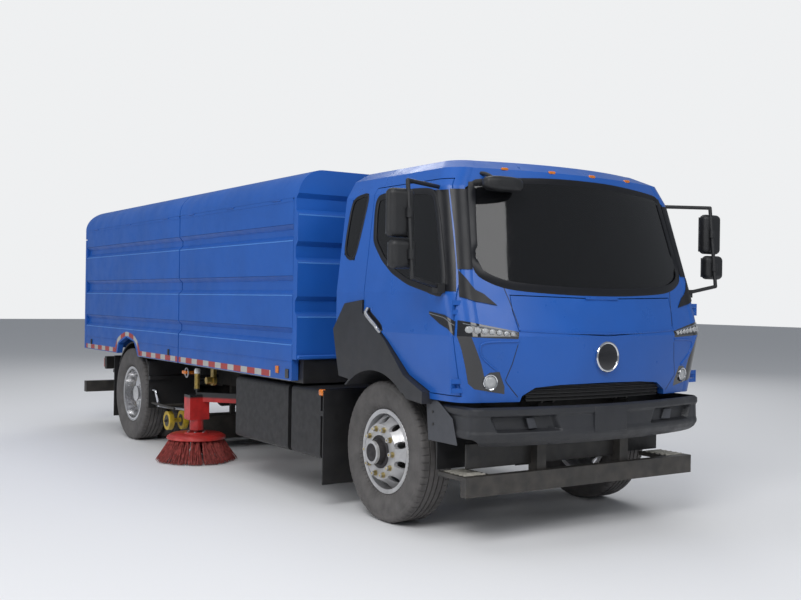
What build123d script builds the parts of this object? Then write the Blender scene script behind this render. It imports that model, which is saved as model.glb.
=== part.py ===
from build123d import *
import math
import os

os.makedirs("parts", exist_ok=True)

# Street sweeper truck, in millimetres. It faces -Y, its left side is +X, Z is up and the ground is Z = 0.
# A name that ends in AFT is a distance behind the front axle, and one that ends in OUT is a distance
# from the middle plane. A name that ends in Z is a height above the ground.

# Whole vehicle
LENGTH = 7950
WHEELBASE = 5000
FRONT_OVERHANG = 1200
FRONT_AXLE_Y = FRONT_OVERHANG - LENGTH / 2
REAR_AXLE_Y = FRONT_AXLE_Y + WHEELBASE

# Clearances
SEAT_GAP = 0.3
RUN_GAP = 0.3
SWING_GAP = 6
OVERRUN = 20
FAR = 9000

# Wheels and tyres
TYRE_R = 506
TYRE_WIDTH = 276
TYRE_SHOULDER = 34
RIM_SEAT_R = 286
RIM_LIP_R = 304
RIM_WIDTH = 210
RIM_WALL = 14
RIM_LIP = 12
DISC_OFFSET = 150
DISC_WALL = 14
HAND_HOLE_R = 26
HAND_HOLE_CIRCLE_R = 222
HAND_HOLES = 10
NUT_R = 16
NUT_HEIGHT = 34
NUT_CIRCLE_R = 167.5
NUTS = 10
HUB_R = 112
HUB_NOSE_R = 84
HUB_NOSE = 74
SPINDLE_R = 42
FRONT_TYRE_OUT = 942
REAR_OUTER_TYRE_OUT = 1087
TWIN_SPACING = 310

# Front axle and steering
KINGPIN_OUT = 770
KINGPIN_R = 24
AXLE_EYE_R = 50
AXLE_EYE_HEIGHT = 110
AXLE_BEAM_DEPTH = 80
AXLE_BEAM_WIDTH = 90
AXLE_BEAM_DROP = 90
YOKE_PLATE = 24
YOKE_R = 56
YOKE_BACK = 22
KNUCKLE_DRUM_R = 190

# Frame
RAIL_OUT = 430
RAIL_FLANGE = 80
RAIL_WEB = 10
RAIL_TOP_Z = 920
RAIL_HEIGHT = 280
RAIL_FRONT_AFT = -940
RAIL_REAR_AFT = 6500
CROSS_MEMBER = 90
CROSS_MEMBER_SHARES = (0.02, 0.27, 0.46, 0.66, 0.87, 0.99)

# Leaf springs
SPRING_HALF_LENGTH = 700
SPRING_WIDTH = 76
SPRING_OUT = 390
SPRING_LEAF = 16
SPRING_LEAVES = 4
SPRING_SAG = 62
REAR_SPRING_HALF_LENGTH = 720
REAR_SPRING_SAG = 14
REAR_SPRING_LEAVES = 3

# Rear axle and driveline
REAR_TUBE_R = 66
REAR_SPINDLE_R = 52
REAR_SPINDLE_OUT = 1040
DIFF_R = 190
DIFF_LENGTH = 250
PINION_R = 90
PINION_LENGTH = 330
PROP_R = 45
PROP_JOINT_R = 62
PROP_JOINT = 90
ENGINE_FRONT_AFT = -560
ENGINE_REAR_AFT = 420
ENGINE_OUT = 320
ENGINE_BOTTOM_Z = 470
ENGINE_TOP_Z = 1060
SUMP_DEPTH = 150
GEARBOX_REAR_AFT = 1080
GEARBOX_R = 190
GEARBOX_TAIL_R = 110
GEARBOX_Z = 640

# Sweeper body
BODY_FRONT_AFT = 1000
BODY_SPLIT_AFT = 3500
BODY_REAR_AFT = 6650
BODY_OUT = 1250
BODY_BOTTOM_Z = 940
ROOF_Z = 2625
ROOF_ROUND = 225
ROOF_WALL = 40
SIDE_TOP_Z = 2385
SIDE_WALL = 60
GROOVE_DEPTH = 34
GROOVE_SLOPE = 38
# Columns: top and bottom of each side groove, as shares of the body's height.
GROOVE_SHARES = ((0.738, 0.664), (0.494, 0.405), (0.247, 0.170))
# Columns: top and bottom of each groove of the front wall, as shares of the body's height.
FRONT_GROOVE_SHARES = ((0.884, 0.786), (0.658, 0.560), (0.399, 0.304))
SPLIT_GAP = 14
FLOOR_THICK = 60
FRONT_WALL = 70
WALL_BOTTOM_Z = 1110
ARCH_HALF = 360
ARCH_TOP_Z = 1134
ARCH_CENTRE_SHIFT = 33
# Columns: place along the truck from the arch's middle and height over the panel's foot, as shares.
ARCH_SHARES = ((-0.6, 0.77), (0.1, 1.0), (0.83, 0.6))
HINGE_R = 5
HINGE_LENGTH = 150
HINGE_LEAF = 4
HINGE_REACH = 16
SIDE_HINGE_SHARES = (0.12, 0.5, 0.88)

# Tipping hopper
HOPPER_OUT = 1130
HOPPER_WALL = 40
HOPPER_FLOOR_Z = 1140
HOPPER_BEAM_BOTTOM_Z = 955
TIP_PIVOT_AFT = 6560
TIP_PIVOT_Z = 888
TIP_BARREL_R = 42
TIP_LUG = 16
TAIL_HEADER_Z = 2290
TAIL_WALL = 60
TAIL_RIB = 24
TAIL_RIB_HEIGHT = 110
TAIL_RIB_SHARES = (0.16, 0.5, 0.84)

# Tank and auxiliary engine in the front body section
WATER_TANK_FRONT_AFT = 2350
WATER_TANK_TOP_Z = 2350
WATER_TANK_OUT = 1110
AUX_ENGINE_FRONT_AFT = 1250
AUX_ENGINE_REAR_AFT = 2150
AUX_ENGINE_OUT = 420
AUX_ENGINE_TOP_Z = 1850

# Cab
CAB_BOTTOM_Z = 940
CAB_HEIGHT = 1620
CAB_OUT = 1150
CAB_NOSE = 1160
CAB_REAR_AFT = 550
CAB_CORNER = 150
CAB_BULGE = 125
CAB_WALL = 50
CAB_FLOOR_Z = 1120
CAB_FLOOR_THICK = 40
CAB_ROOF_WALL = 45
CAB_ROOF_SPLIT_Z = 2425
# Columns: height, half width and reach ahead of the front axle, as shares of the cab's three sizes.
CAB_SECTION_SHARES = (
    (0.0, 0.955, 0.955),
    (0.265, 1.0, 1.0),
    (0.438, 1.0, 0.93),
    (0.877, 0.93, 0.765),
    (0.957, 0.865, 0.735),
    (1.0, 0.76, 0.62),
)
CAB_TILT_AFT = -980
CAB_TILT_Z = 985
CAB_TILT_BARREL_R = 30
CAB_TILT_BARREL_OUT = 350
CAB_TILT_BARREL = 90

# Cab doors, with their outline along and up as shares of the door's length and height
DOOR_FRONT_AFT = -925
DOOR_LENGTH = 1075
DOOR_BOTTOM_Z = 985
DOOR_HEIGHT = 1420
DOOR_OUTLINE_SHARES = (
    (0.0, 0.0),
    (0.267, 0.0),
    (0.492, 0.071),
    (0.713, 0.230),
    (0.890, 0.329),
    (1.0, 0.364),
    (1.0, 1.0),
    (0.200, 1.0),
    (0.020, 0.53),
    (0.0, 0.27),
)
WINDOW_OUTLINE_SHARES = (
    (0.114, 0.462),
    (0.483, 0.520),
    (0.674, 0.575),
    (0.808, 0.640),
    (0.933, 0.730),
    (0.962, 0.950),
    (0.291, 0.950),
    (0.114, 0.535),
)
QUARTER_OUTLINE_SHARES = ((1.177, 0.63), (1.326, 0.665), (1.287, 0.955), (1.086, 0.978), (1.086, 0.93))
DOOR_HINGE_SHARES = (0.045, 0.40)
DOOR_HINGE_LENGTH = 90
DOOR_HINGE_REACH = 95
DOOR_SWEEP_R = 155
GLASS = 6
GLASS_SET = 4

# Cab front: outlines seen from the front, across as a share of the cab's half width, up as a share of its height
WINDSCREEN_SHARES = (
    (0.0, 0.442),
    (0.45, 0.452),
    (0.70, 0.486),
    (0.845, 0.536),
    (0.857, 0.690),
    (0.820, 0.867),
    (0.747, 0.898),
    (0.60, 0.918),
    (0.0, 0.925),
)
CAB_FOOT_SHARES = ((0.0, 0.068), (0.33, 0.065), (0.50, 0.056), (0.58, 0.024), (0.60, -0.02), (0.0, -0.02))
LID_SHARES = ((0.0, 0.418), (0.65, 0.428), (0.65, 0.36), (0.63, 0.288), (0.0, 0.268))
LID_THICK = 30
LID_HINGE_LENGTH = 300
HEADLAMP_SHARES = (
    (0.633, 0.283),
    (0.975, 0.328),
    (0.985, 0.265),
    (0.961, 0.211),
    (0.936, 0.144),
    (0.913, 0.077),
    (0.878, 0.055),
    (0.692, 0.033),
    (0.697, 0.064),
    (0.737, 0.1235),
    (0.795, 0.121),
    (0.825, 0.105),
    (0.850, 0.155),
    (0.891, 0.212),
    (0.926, 0.262),
    (0.787, 0.258),
    (0.642, 0.255),
)
HEADLAMP_THICK = 26
BADGE_R = 105
BADGE_THICK = 16
BADGE_Z = 1228

# Fender over the front wheel, behind the door
ARCH_R = 600
FENDER_SHEET = 15
FENDER_IN_OUT = 800
FENDER_PROUD = 14
FENDER_FACE_IN_OUT = 1040
# Columns: distance behind the axle as a share of the arch radius, height as a share of the cab's height.
FENDER_SHARES = (
    (-1.03, -0.02),
    (-1.03, 0.10),
    (-0.50, 0.28),
    (0.08, 0.41),
    (0.68, 0.385),
    (0.955, 0.265),
    (0.88, 0.155),
    (0.80, 0.05),
)

# Mirrors
MIRROR_TUBE_R = 14
MIRROR_TUBE_OUT = 1432
MIRROR_TUBE_TOP_AFT = -816
MIRROR_TUBE_TOP_Z = 2352
MIRROR_TUBE_LOW_AFT = -880
MIRROR_TUBE_LOW_Z = 1735
MIRROR_ROOT_TOP_AFT = -640
MIRROR_ROOT_LOW_AFT = -815
MIRROR_WIDTH = 190
MIRROR_DEPTH = 90
MIRROR_HEIGHT = 310
MIRROR_Z = 2146
MIRROR_OUT = 1468
WIDE_MIRROR_HEIGHT = 185
WIDE_MIRROR_Z = 1884
MIRROR_ROUND = 38
MIRROR_CLAMP_R = 24
MIRROR_CLAMP = 60

# Inside the cab
SEAT_WIDTH = 500
SEAT_OUT = 560
SEAT_DEPTH = 480
SEAT_CUSHION = 130
SEAT_BACK_HEIGHT = 700
SEAT_BACK = 120
SEAT_BASE = 250
SEAT_FRONT_AFT = -220
SEAT_ROUND = 30
DASH_FRONT_AFT = -900
DASH_REAR_AFT = -620
DASH_TOP_Z = 1600
DASH_OUTLINE_SHARES = ((0.33, 0), (0.67, 0), (1, 0.5), (1, 0.8), (0.5, 1), (0, 0.9), (0, 0.5))
DASH_OUT = 1020
WHEEL_RIM_R = 230
WHEEL_RIM_TUBE = 15
WHEEL_HUB_R = 70
WHEEL_HUB = 40
STEER_COLUMN_R = 30
STEER_TILT = 30
STEER_WHEEL_AFT = -500
STEER_WHEEL_Z = 1640

# Bumper and guard bar
BUMPER_TOP_Z = 915
BUMPER_LOW_Z = 655
BUMPER_OUT = 1075
BUMPER_WALL = 24
BUMPER_BULGE = 130
BUMPER_CORNER = 90
BUMPER_SIDE_REAR_AFT = -640
# Columns: across as a share of the half width and up as a share of the bumper's height, for the recess.
RECESS_SHARES = ((0.48, 0.30), (0.88, 0.42), (0.94, 0.88), (0.52, 0.86))
RECESS_BACK = 30
BUMPER_ARM = 60
BUMPER_ARM_REAR_AFT = -740
PLATE_BOLT_SPACING_X = 210
PLATE_BOLT_SPACING_Z = 120
PLATE_BOLT_Z = 812
PLATE_BOLT_R = 3.5
PLATE_PAD_EDGE = 30
GUARD_HALF = 1060
GUARD_FACE_AFT = -980
GUARD_DEPTH = 60
GUARD_LOW_Z = 332
GUARD_TOP_Z = 462
GUARD_LEG_WIDTH = 90
STEP_WIDTH = 230
STEP_LENGTH = 250
STEP_THICK = 28
STEP_SLOT = 26
STEP_SLOTS = 4

# Mudguards and side boxes
FLAP_THICK = 12
FLAP_OUT = 1215
FLAP_IN_OUT = 690
FRONT_FLAP_AFT = 612
FRONT_FLAP_LOW_Z = 180
FRONT_FLAP_TOP_Z = 900
FRONT_GUARD_AFT = -632
REAR_FLAP_LOW_Z = 200
REAR_FLAP_TOP_Z = 900
REAR_FLAP_GAP = 70
TANK_FRONT_AFT = 700
BATTERY_REAR_AFT = 1180
FUEL_FRONT_AFT = 1240
FUEL_REAR_AFT = 2250
BOX_OUT = 1190
BOX_IN_OUT = 560
BOX_LOW_Z = 360
BOX_TOP_Z = 900
BOX_ROUND = 40

# Rear end
REAR_BAR_HALF = 1216
REAR_BAR_LOW_Z = 388
REAR_BAR_TOP_Z = 522
REAR_BAR_DEPTH = 90
LAMP_BAR_HALF = 1016
LAMP_BAR_LOW_Z = 680
LAMP_BAR_TOP_Z = 835
LAMP_BAR_DEPTH = 70
LAMP_LENGTH = 380
LAMP_THICK = 34
LAMP_HEIGHT = 110
TOW_PIN_R = 20
TOW_EYE_R = 45
TOW_EYE_THICK = 40

# Side brushes
BRUSH_OUT = 1150
BRUSH_AFT = 3250
BRUSH_DISC_R = 285
BRUSH_DISC_TOP_R = 230
BRUSH_DISC_LOW_Z = 195
BRUSH_DISC_TOP_Z = 265
BRUSH_TIP_R = 418
BRUSH_ROOT_R = 225
TINES = 24
TINE_WIDTH = 46
TINE_THICK = 24
TINE_CLEAR = 8
BRUSH_SHAFT_R = 28
BRUSH_MOTOR_R = 66
BRUSH_MOTOR_TOP_Z = 470
BRUSH_MOTOR_LOW_Z = 300
BRUSH_PIVOT_OUT = 620
BRUSH_PIVOT_AFT = 2600
BRUSH_PIVOT_R = 30
BRUSH_PIVOT_BARREL_R = 52
BRUSH_PIVOT_LOW_Z = 560
BRUSH_PIVOT_TOP_Z = 760
ARM_HEIGHT = 90
ARM_THICK = 50
ARM_Z = 620
HEAD_WIDTH = 200
HEAD_THICK = 150
LIFT_CYLINDER_R = 26
LIFT_CYLINDER_LOW_Z = 690
LIFT_CYLINDER_TOP_Z = 850
LIFT_ROD_R = 12
LIFT_EYE_R = 22

# Suction nozzle
NOZZLE_OUT = 880
NOZZLE_FRONT_AFT = 3880
NOZZLE_REAR_AFT = 4360
NOZZLE_LOW_Z = 100
NOZZLE_TOP_Z = 330
NOZZLE_TOP_DEPTH = 300
NOZZLE_WALL = 12
PIPE_OUT = 205
PIPE_R = 100
PIPE_WALL = 8
NOZZLE_LINK = 50
NOZZLE_WHEEL_R = 98
NOZZLE_WHEEL_WIDTH = 50
NOZZLE_WHEEL_AFT = 4120
NOZZLE_WHEEL_Z = 292
NOZZLE_WHEEL_IN_OUT = 945
NOZZLE_WHEEL_OUT = 1100
NOZZLE_AXLE_R = 14
NOZZLE_HUB_R = 24
SPRAY_ROD_R = 12
SPRAY_ROD_OUT = 1180
SPRAY_ROD_Z = 455
SPRAY_FRONT_AFT = 3760
SPRAY_REAR_AFT = 4405
FILL_R = 32.5
FILL_LENGTH = 60
FILL_AFT = 2950
FILL_Z = 800

NODES = {}


def aft(distance):
    """Y of a place this far behind the front axle."""
    return FRONT_AXLE_Y + distance


def keep(name, *solids):
    """Adds solids to the named node."""
    NODES.setdefault(name, []).extend(solids)


def block(x0, x1, y0, y1, z0, z1):
    """A box between two corners."""
    middle = Pos((x0 + x1) / 2, (y0 + y1) / 2, (z0 + z1) / 2)
    return middle * Box(abs(x1 - x0), abs(y1 - y0), abs(z1 - z0))


def mirrored(shape):
    """The same shape on the other side of the middle plane."""
    return mirror(shape, about=Plane.YZ)


def polygon(points):
    """A flat face with straight sides."""
    return make_face(Polyline(*points, close=True))


def prism_x(face, x0, x1):
    """A side view, drawn as (y, z), carried across from x0 to x1."""
    return Pos(x0, 0, 0) * extrude(Plane.YZ * face, x1 - x0)


def prism_y(face, y0, y1):
    """A front view, drawn as (x, z), carried back from y0 to y1."""
    return Pos(0, y1, 0) * extrude(Plane.XZ * face, y1 - y0)


def prism_z(face, z0, z1):
    """A plan view, drawn as (x, y), carried up from z0 to z1."""
    return Pos(0, 0, z0) * extrude(face, z1 - z0)


def grown(face, amount):
    """A face made larger by amount all round, with sharp corners."""
    return offset(face, amount=amount, kind=Kind.INTERSECTION)


def rod(start, end, radius):
    """A round bar between two points."""
    along = Vector(*end) - Vector(*start)
    plane = Plane(origin=start, z_dir=along)
    return plane * Cylinder(radius, along.length, align=(Align.CENTER, Align.CENTER, Align.MIN))


def bar(start, end, width, height):
    """A bar of oblong section between two points, its height as near upright as its slope allows."""
    along = Vector(*end) - Vector(*start)
    across = along.cross(Vector(0, 0, 1))
    plane = Plane(origin=start, x_dir=across, z_dir=along)
    return plane * Box(width, height, along.length, align=(Align.CENTER, Align.CENTER, Align.MIN))


def hinge(centre, axis, length, to_fixed, to_moving, reach):
    """Three barrels in a row on one axis. The outer two belong to the carrier and the middle one to the flap."""
    third = length / 3
    along = Vector(*axis)
    middle = Vector(*centre)
    fixed = []
    for side in (-1, 1):
        place = middle + along * (side * third)
        fixed.append(barrel_with_leaf(place, along, third - SEAT_GAP, to_fixed, reach))
    moving = barrel_with_leaf(middle, along, third - SEAT_GAP, to_moving, reach)
    return fixed, moving


def barrel_with_leaf(place, along, length, toward, reach):
    """One hinge barrel, with the leaf that joins it to its panel."""
    barrel = Plane(origin=place, z_dir=along) * Cylinder(HINGE_R, length)
    leaf_plane = Plane(origin=place, x_dir=Vector(*toward), z_dir=along)
    leaf = leaf_plane * (Pos(reach / 2, 0, 0) * Box(reach, HINGE_LEAF, length))
    return barrel + leaf


def tyre(middle_x):
    """A tyre that turns about X, with its middle at middle_x and its axle on the X axis."""
    half = TYRE_WIDTH / 2
    bead_half = RIM_WIDTH / 2
    inner = RIM_SEAT_R + SEAT_GAP
    wall_r = (inner + TYRE_R) / 2
    shoulder_r = TYRE_R - TYRE_SHOULDER / 2
    right = (
        Line((bead_half - RIM_LIP, inner), (bead_half - RIM_LIP, RIM_LIP_R + SEAT_GAP))
        + ThreePointArc(
            (bead_half - RIM_LIP, RIM_LIP_R + SEAT_GAP),
            (half - SEAT_GAP, wall_r + TYRE_SHOULDER / 2),
            (half - TYRE_SHOULDER / 2, shoulder_r),
        )
        + Line((half - TYRE_SHOULDER / 2, shoulder_r), (half - TYRE_SHOULDER, TYRE_R))
    )
    outline = (
        right
        + mirror(right, about=Plane.YZ)
        + Line((TYRE_SHOULDER - half, TYRE_R), (half - TYRE_SHOULDER, TYRE_R))
        + Line((RIM_LIP - bead_half, inner), (bead_half - RIM_LIP, inner))
    )
    return Pos(middle_x, 0, 0) * revolve(make_face(outline), Axis.X)


def rim_barrel(middle_x):
    """The barrel that carries a tyre, with a lip at each edge."""
    half = RIM_WIDTH / 2
    points = (
        (-half, RIM_SEAT_R - RIM_WALL),
        (half, RIM_SEAT_R - RIM_WALL),
        (half, RIM_LIP_R),
        (half - RIM_LIP + SEAT_GAP, RIM_LIP_R),
        (half - RIM_LIP + SEAT_GAP, RIM_SEAT_R),
        (RIM_LIP - half - SEAT_GAP, RIM_SEAT_R),
        (RIM_LIP - half - SEAT_GAP, RIM_LIP_R),
        (-half, RIM_LIP_R),
    )
    return Pos(middle_x, 0, 0) * revolve(polygon(points), Axis.X)


def rim_disc(middle_x, face_x):
    """The dished disc from the barrel to its bolting face at face_x, with its hand holes."""
    side = math.copysign(1, face_x - middle_x)
    root_r = RIM_SEAT_R - RIM_WALL / 2
    flat_r = NUT_CIRCLE_R + NUT_R * 2
    wall = DISC_WALL * side
    root_x = middle_x + side * RIM_WIDTH / 8
    points = (
        (face_x, HUB_NOSE_R),
        (face_x, flat_r),
        (root_x, root_r),
        (root_x - wall, root_r),
        (face_x - wall, flat_r - DISC_WALL),
        (face_x - wall, HUB_NOSE_R),
    )
    disc = revolve(polygon(points), Axis.X)
    for i in range(HAND_HOLES):
        turn = Rot(360 / HAND_HOLES * i, 0, 0)
        hole = Rot(0, 90, 0) * Cylinder(HAND_HOLE_R, RIM_WIDTH * 2)
        disc -= turn * (Pos(middle_x, 0, HAND_HOLE_CIRCLE_R) * hole)
    return disc


def stub(radius, x0, x1):
    """A round piece on the X axis."""
    return Pos((x0 + x1) / 2, 0, 0) * (Rot(0, 90, 0) * Cylinder(radius, abs(x1 - x0)))


def nuts(face_x, side):
    """The ring of wheel nuts, standing out of the disc."""
    ring = None
    for i in range(NUTS):
        place = Pos(face_x, 0, 0) * (Rot(360 / NUTS * (i + 0.5), 0, 0) * Pos(0, 0, NUT_CIRCLE_R))
        nut = place * stub(NUT_R, -side * SEAT_GAP, side * NUT_HEIGHT)
        ring = nut if ring is None else ring + nut
    return ring


def build_front_wheels():
    """Steered wheels, drawn on the left and mirrored."""
    face = FRONT_TYRE_OUT + DISC_OFFSET
    place = Pos(0, FRONT_AXLE_Y, TYRE_R)
    wheel = rim_barrel(FRONT_TYRE_OUT) + rim_disc(FRONT_TYRE_OUT, face)
    wheel += stub(HUB_R, face - HUB_NOSE * 2, face - DISC_WALL)
    wheel += stub(HUB_NOSE_R, face - DISC_WALL * 2, face + HUB_NOSE)
    wheel += nuts(face, 1)
    wheel -= stub(SPINDLE_R + RUN_GAP, face - HUB_NOSE * 2 - OVERRUN, face)
    rubber = tyre(FRONT_TYRE_OUT)
    keep("front_wheel_left", place * wheel)
    keep("front_tyre_left", place * rubber)
    keep("front_wheel_right", mirrored(place * wheel))
    keep("front_tyre_right", mirrored(place * rubber))


def build_rear_wheels():
    """Twin wheels on one hub. The two discs bolt back to back."""
    inner_tyre_out = REAR_OUTER_TYRE_OUT - TWIN_SPACING
    face = REAR_OUTER_TYRE_OUT - TWIN_SPACING / 2
    place = Pos(0, REAR_AXLE_Y, TYRE_R)
    wheel = rim_barrel(REAR_OUTER_TYRE_OUT) + rim_disc(REAR_OUTER_TYRE_OUT, face)
    wheel += rim_barrel(inner_tyre_out) + rim_disc(inner_tyre_out, face)
    wheel += stub(HUB_R, face - HUB_NOSE * 2, face + HUB_NOSE / 2)
    wheel += stub(HUB_NOSE_R, face, REAR_OUTER_TYRE_OUT + RIM_WIDTH / 3)
    wheel += nuts(face + DISC_WALL, 1)
    wheel -= stub(REAR_SPINDLE_R + RUN_GAP, face - HUB_NOSE * 2 - OVERRUN, REAR_SPINDLE_OUT + SWING_GAP)
    rubber = [tyre(REAR_OUTER_TYRE_OUT), tyre(inner_tyre_out)]
    keep("rear_wheels_left", place * wheel)
    keep("rear_tyres_left", *[place * one for one in rubber])
    keep("rear_wheels_right", mirrored(place * wheel))
    keep("rear_tyres_right", *[mirrored(place * one) for one in rubber])


def build_front_axle():
    """A dropped beam with an eye at each end for the kingpin, and the two knuckles."""
    beam_z = TYRE_R - AXLE_BEAM_DROP
    eye_gap = AXLE_EYE_R - KINGPIN_R
    inner = KINGPIN_OUT - AXLE_EYE_R - AXLE_BEAM_WIDTH
    half_width = AXLE_BEAM_WIDTH / 2
    beam = block(-inner, inner, FRONT_AXLE_Y - half_width, FRONT_AXLE_Y + half_width,
                 beam_z - AXLE_BEAM_DEPTH / 2, beam_z + AXLE_BEAM_DEPTH / 2)
    for side in (-1, 1):
        neck = polygon((
            (side * (inner - half_width), beam_z - AXLE_BEAM_DEPTH / 2),
            (side * (inner - half_width), beam_z + AXLE_BEAM_DEPTH / 2),
            (side * KINGPIN_OUT, TYRE_R + eye_gap),
            (side * KINGPIN_OUT, TYRE_R - eye_gap),
            (side * (KINGPIN_OUT - YOKE_R - SWING_GAP), TYRE_R - AXLE_EYE_HEIGHT / 2),
            (side * inner, beam_z - AXLE_BEAM_DEPTH / 2),
        ))
        beam += prism_y(neck, FRONT_AXLE_Y - half_width / 2, FRONT_AXLE_Y + half_width / 2)
        eye = Pos(side * KINGPIN_OUT, FRONT_AXLE_Y, TYRE_R)
        beam += eye * Cylinder(AXLE_EYE_R, AXLE_EYE_HEIGHT)
        beam -= eye * Cylinder(KINGPIN_R + RUN_GAP, AXLE_EYE_HEIGHT + OVERRUN)
    keep("front_axle", beam)

    face = FRONT_TYRE_OUT + DISC_OFFSET
    centre = Pos(KINGPIN_OUT, FRONT_AXLE_Y, TYRE_R)
    knuckle = centre * Cylinder(KINGPIN_R, AXLE_EYE_HEIGHT + YOKE_PLATE)
    plate_z = AXLE_EYE_HEIGHT / 2 + RUN_GAP + YOKE_PLATE / 2
    back_out = AXLE_EYE_R + SWING_GAP
    for side in (-1, 1):
        plate = Cylinder(YOKE_R, YOKE_PLATE)
        plate += Pos((back_out + YOKE_BACK) / 2, 0, 0) * Box(back_out + YOKE_BACK, YOKE_R * 2, YOKE_PLATE)
        knuckle += centre * (Pos(0, 0, side * plate_z) * plate)
    back = Box(YOKE_BACK, YOKE_R * 2, plate_z * 2)
    knuckle += centre * (Pos(back_out + YOKE_BACK / 2, 0, 0) * back)
    place = Pos(0, FRONT_AXLE_Y, TYRE_R)
    spindle_root = KINGPIN_OUT + back_out + YOKE_BACK / 2
    knuckle += place * stub(SPINDLE_R, spindle_root, face - OVERRUN)
    drum_in = KINGPIN_OUT + back_out + YOKE_BACK / 4
    drum_out = face - HUB_NOSE * 2 - SWING_GAP
    knuckle += place * stub(KNUCKLE_DRUM_R, drum_in, drum_out)
    keep("knuckle_left", knuckle)
    keep("knuckle_right", mirrored(knuckle))


def build_rear_axle():
    """Axle tubes, differential and spindles in one housing."""
    place = Pos(0, REAR_AXLE_Y, TYRE_R)
    face = REAR_OUTER_TYRE_OUT - TWIN_SPACING / 2
    tube_end = face - HUB_NOSE * 2 - SWING_GAP
    housing = place * stub(REAR_TUBE_R, -tube_end, tube_end)
    housing += place * stub(REAR_SPINDLE_R, -REAR_SPINDLE_OUT, REAR_SPINDLE_OUT)
    bowl = revolve(
        polygon((
            (-DIFF_LENGTH, 0),
            (-DIFF_LENGTH, REAR_TUBE_R),
            (-DIFF_LENGTH / 2, DIFF_R),
            (DIFF_LENGTH / 2, DIFF_R),
            (DIFF_LENGTH, REAR_TUBE_R),
            (DIFF_LENGTH, 0),
        )),
        Axis.X,
    )
    housing += place * bowl
    nose = Rot(90, 0, 0) * Cylinder(PINION_R, PINION_LENGTH, align=(Align.CENTER, Align.CENTER, Align.MIN))
    housing += place * nose
    for side in (-1, 1):
        drum_out = side * tube_end
        drum_in = side * (tube_end - HUB_NOSE * 2)
        housing += place * stub(KNUCKLE_DRUM_R, drum_in, drum_out)
    keep("rear_axle", housing)


def leaf_pack(half_length, middle_y, seat_z, sag, leaves):
    """A pack of leaves, the longest at the top, each in two straight runs that rise to its ends by its share of sag."""
    pack = None
    for i in range(leaves):
        share = (i + 1) / leaves
        reach = half_length * share
        drop = sag * share
        base = seat_z + SPRING_LEAF * i
        top = base + SPRING_LEAF
        points = (
            (middle_y - reach, base + drop),
            (middle_y, base),
            (middle_y + reach, base + drop),
            (middle_y + reach, top + drop),
            (middle_y, top),
            (middle_y - reach, top + drop),
        )
        leaf = prism_x(polygon(points), SPRING_OUT - SPRING_WIDTH / 2, SPRING_OUT + SPRING_WIDTH / 2)
        pack = leaf if pack is None else pack + leaf
    return pack


def build_springs():
    """Leaf springs on each side of both axles, hung from brackets under the rails."""
    seat_front = TYRE_R - AXLE_BEAM_DROP + AXLE_BEAM_DEPTH / 2 + SEAT_GAP
    seat_rear = TYRE_R + REAR_TUBE_R + SEAT_GAP
    rail_low = RAIL_TOP_Z - RAIL_HEIGHT - SEAT_GAP
    table = (
        (FRONT_AXLE_Y, SPRING_HALF_LENGTH, seat_front, SPRING_SAG, SPRING_LEAVES),
        (REAR_AXLE_Y, REAR_SPRING_HALF_LENGTH, seat_rear, REAR_SPRING_SAG, REAR_SPRING_LEAVES),
    )
    # Columns: middle along the truck, half length, height of the seat on the axle, rise at the ends, leaves.
    for middle_y, half_length, seat_z, sag, leaves in table:
        pack = leaf_pack(half_length, middle_y, seat_z, sag, leaves)
        for side in (-1, 1):
            end_y = middle_y + side * (half_length - SPRING_WIDTH / 2)
            end_z = seat_z + sag + SPRING_LEAF * (leaves - 1)
            pack += block(SPRING_OUT - SPRING_WIDTH / 2, SPRING_OUT + SPRING_WIDTH / 2,
                          end_y - SPRING_WIDTH / 2, end_y + SPRING_WIDTH / 2, end_z, rail_low)
        keep("leaf_springs", pack, mirrored(pack))


def build_driveline():
    """Engine as one plain block, and the gearbox with the shaft back to the rear axle."""
    engine = block(-ENGINE_OUT, ENGINE_OUT, aft(ENGINE_FRONT_AFT), aft(ENGINE_REAR_AFT),
                   TYRE_R + SUMP_DEPTH, ENGINE_TOP_Z)
    sump_out = ENGINE_OUT / 2
    engine += block(-sump_out, sump_out, aft(ENGINE_FRONT_AFT), aft(-AXLE_BEAM_WIDTH),
                    ENGINE_BOTTOM_Z, TYRE_R + SUMP_DEPTH)
    keep("engine_block", engine)
    start = aft(ENGINE_REAR_AFT) + SEAT_GAP
    bell_end = (start + aft(GEARBOX_REAR_AFT)) / 2
    box = rod((0, start, GEARBOX_Z), (0, bell_end, GEARBOX_Z), GEARBOX_R)
    box += rod((0, bell_end, GEARBOX_Z), (0, aft(GEARBOX_REAR_AFT), GEARBOX_Z), GEARBOX_TAIL_R)
    shaft_end = REAR_AXLE_Y - PINION_LENGTH - SEAT_GAP
    first = (0, aft(GEARBOX_REAR_AFT), GEARBOX_Z)
    last = (0, shaft_end - PROP_JOINT, TYRE_R)
    box += rod(first, last, PROP_R)
    box += rod((0, last[1] - PROP_JOINT, TYRE_R), (0, shaft_end, TYRE_R), PROP_JOINT_R)
    keep("driveline", box)


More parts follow.
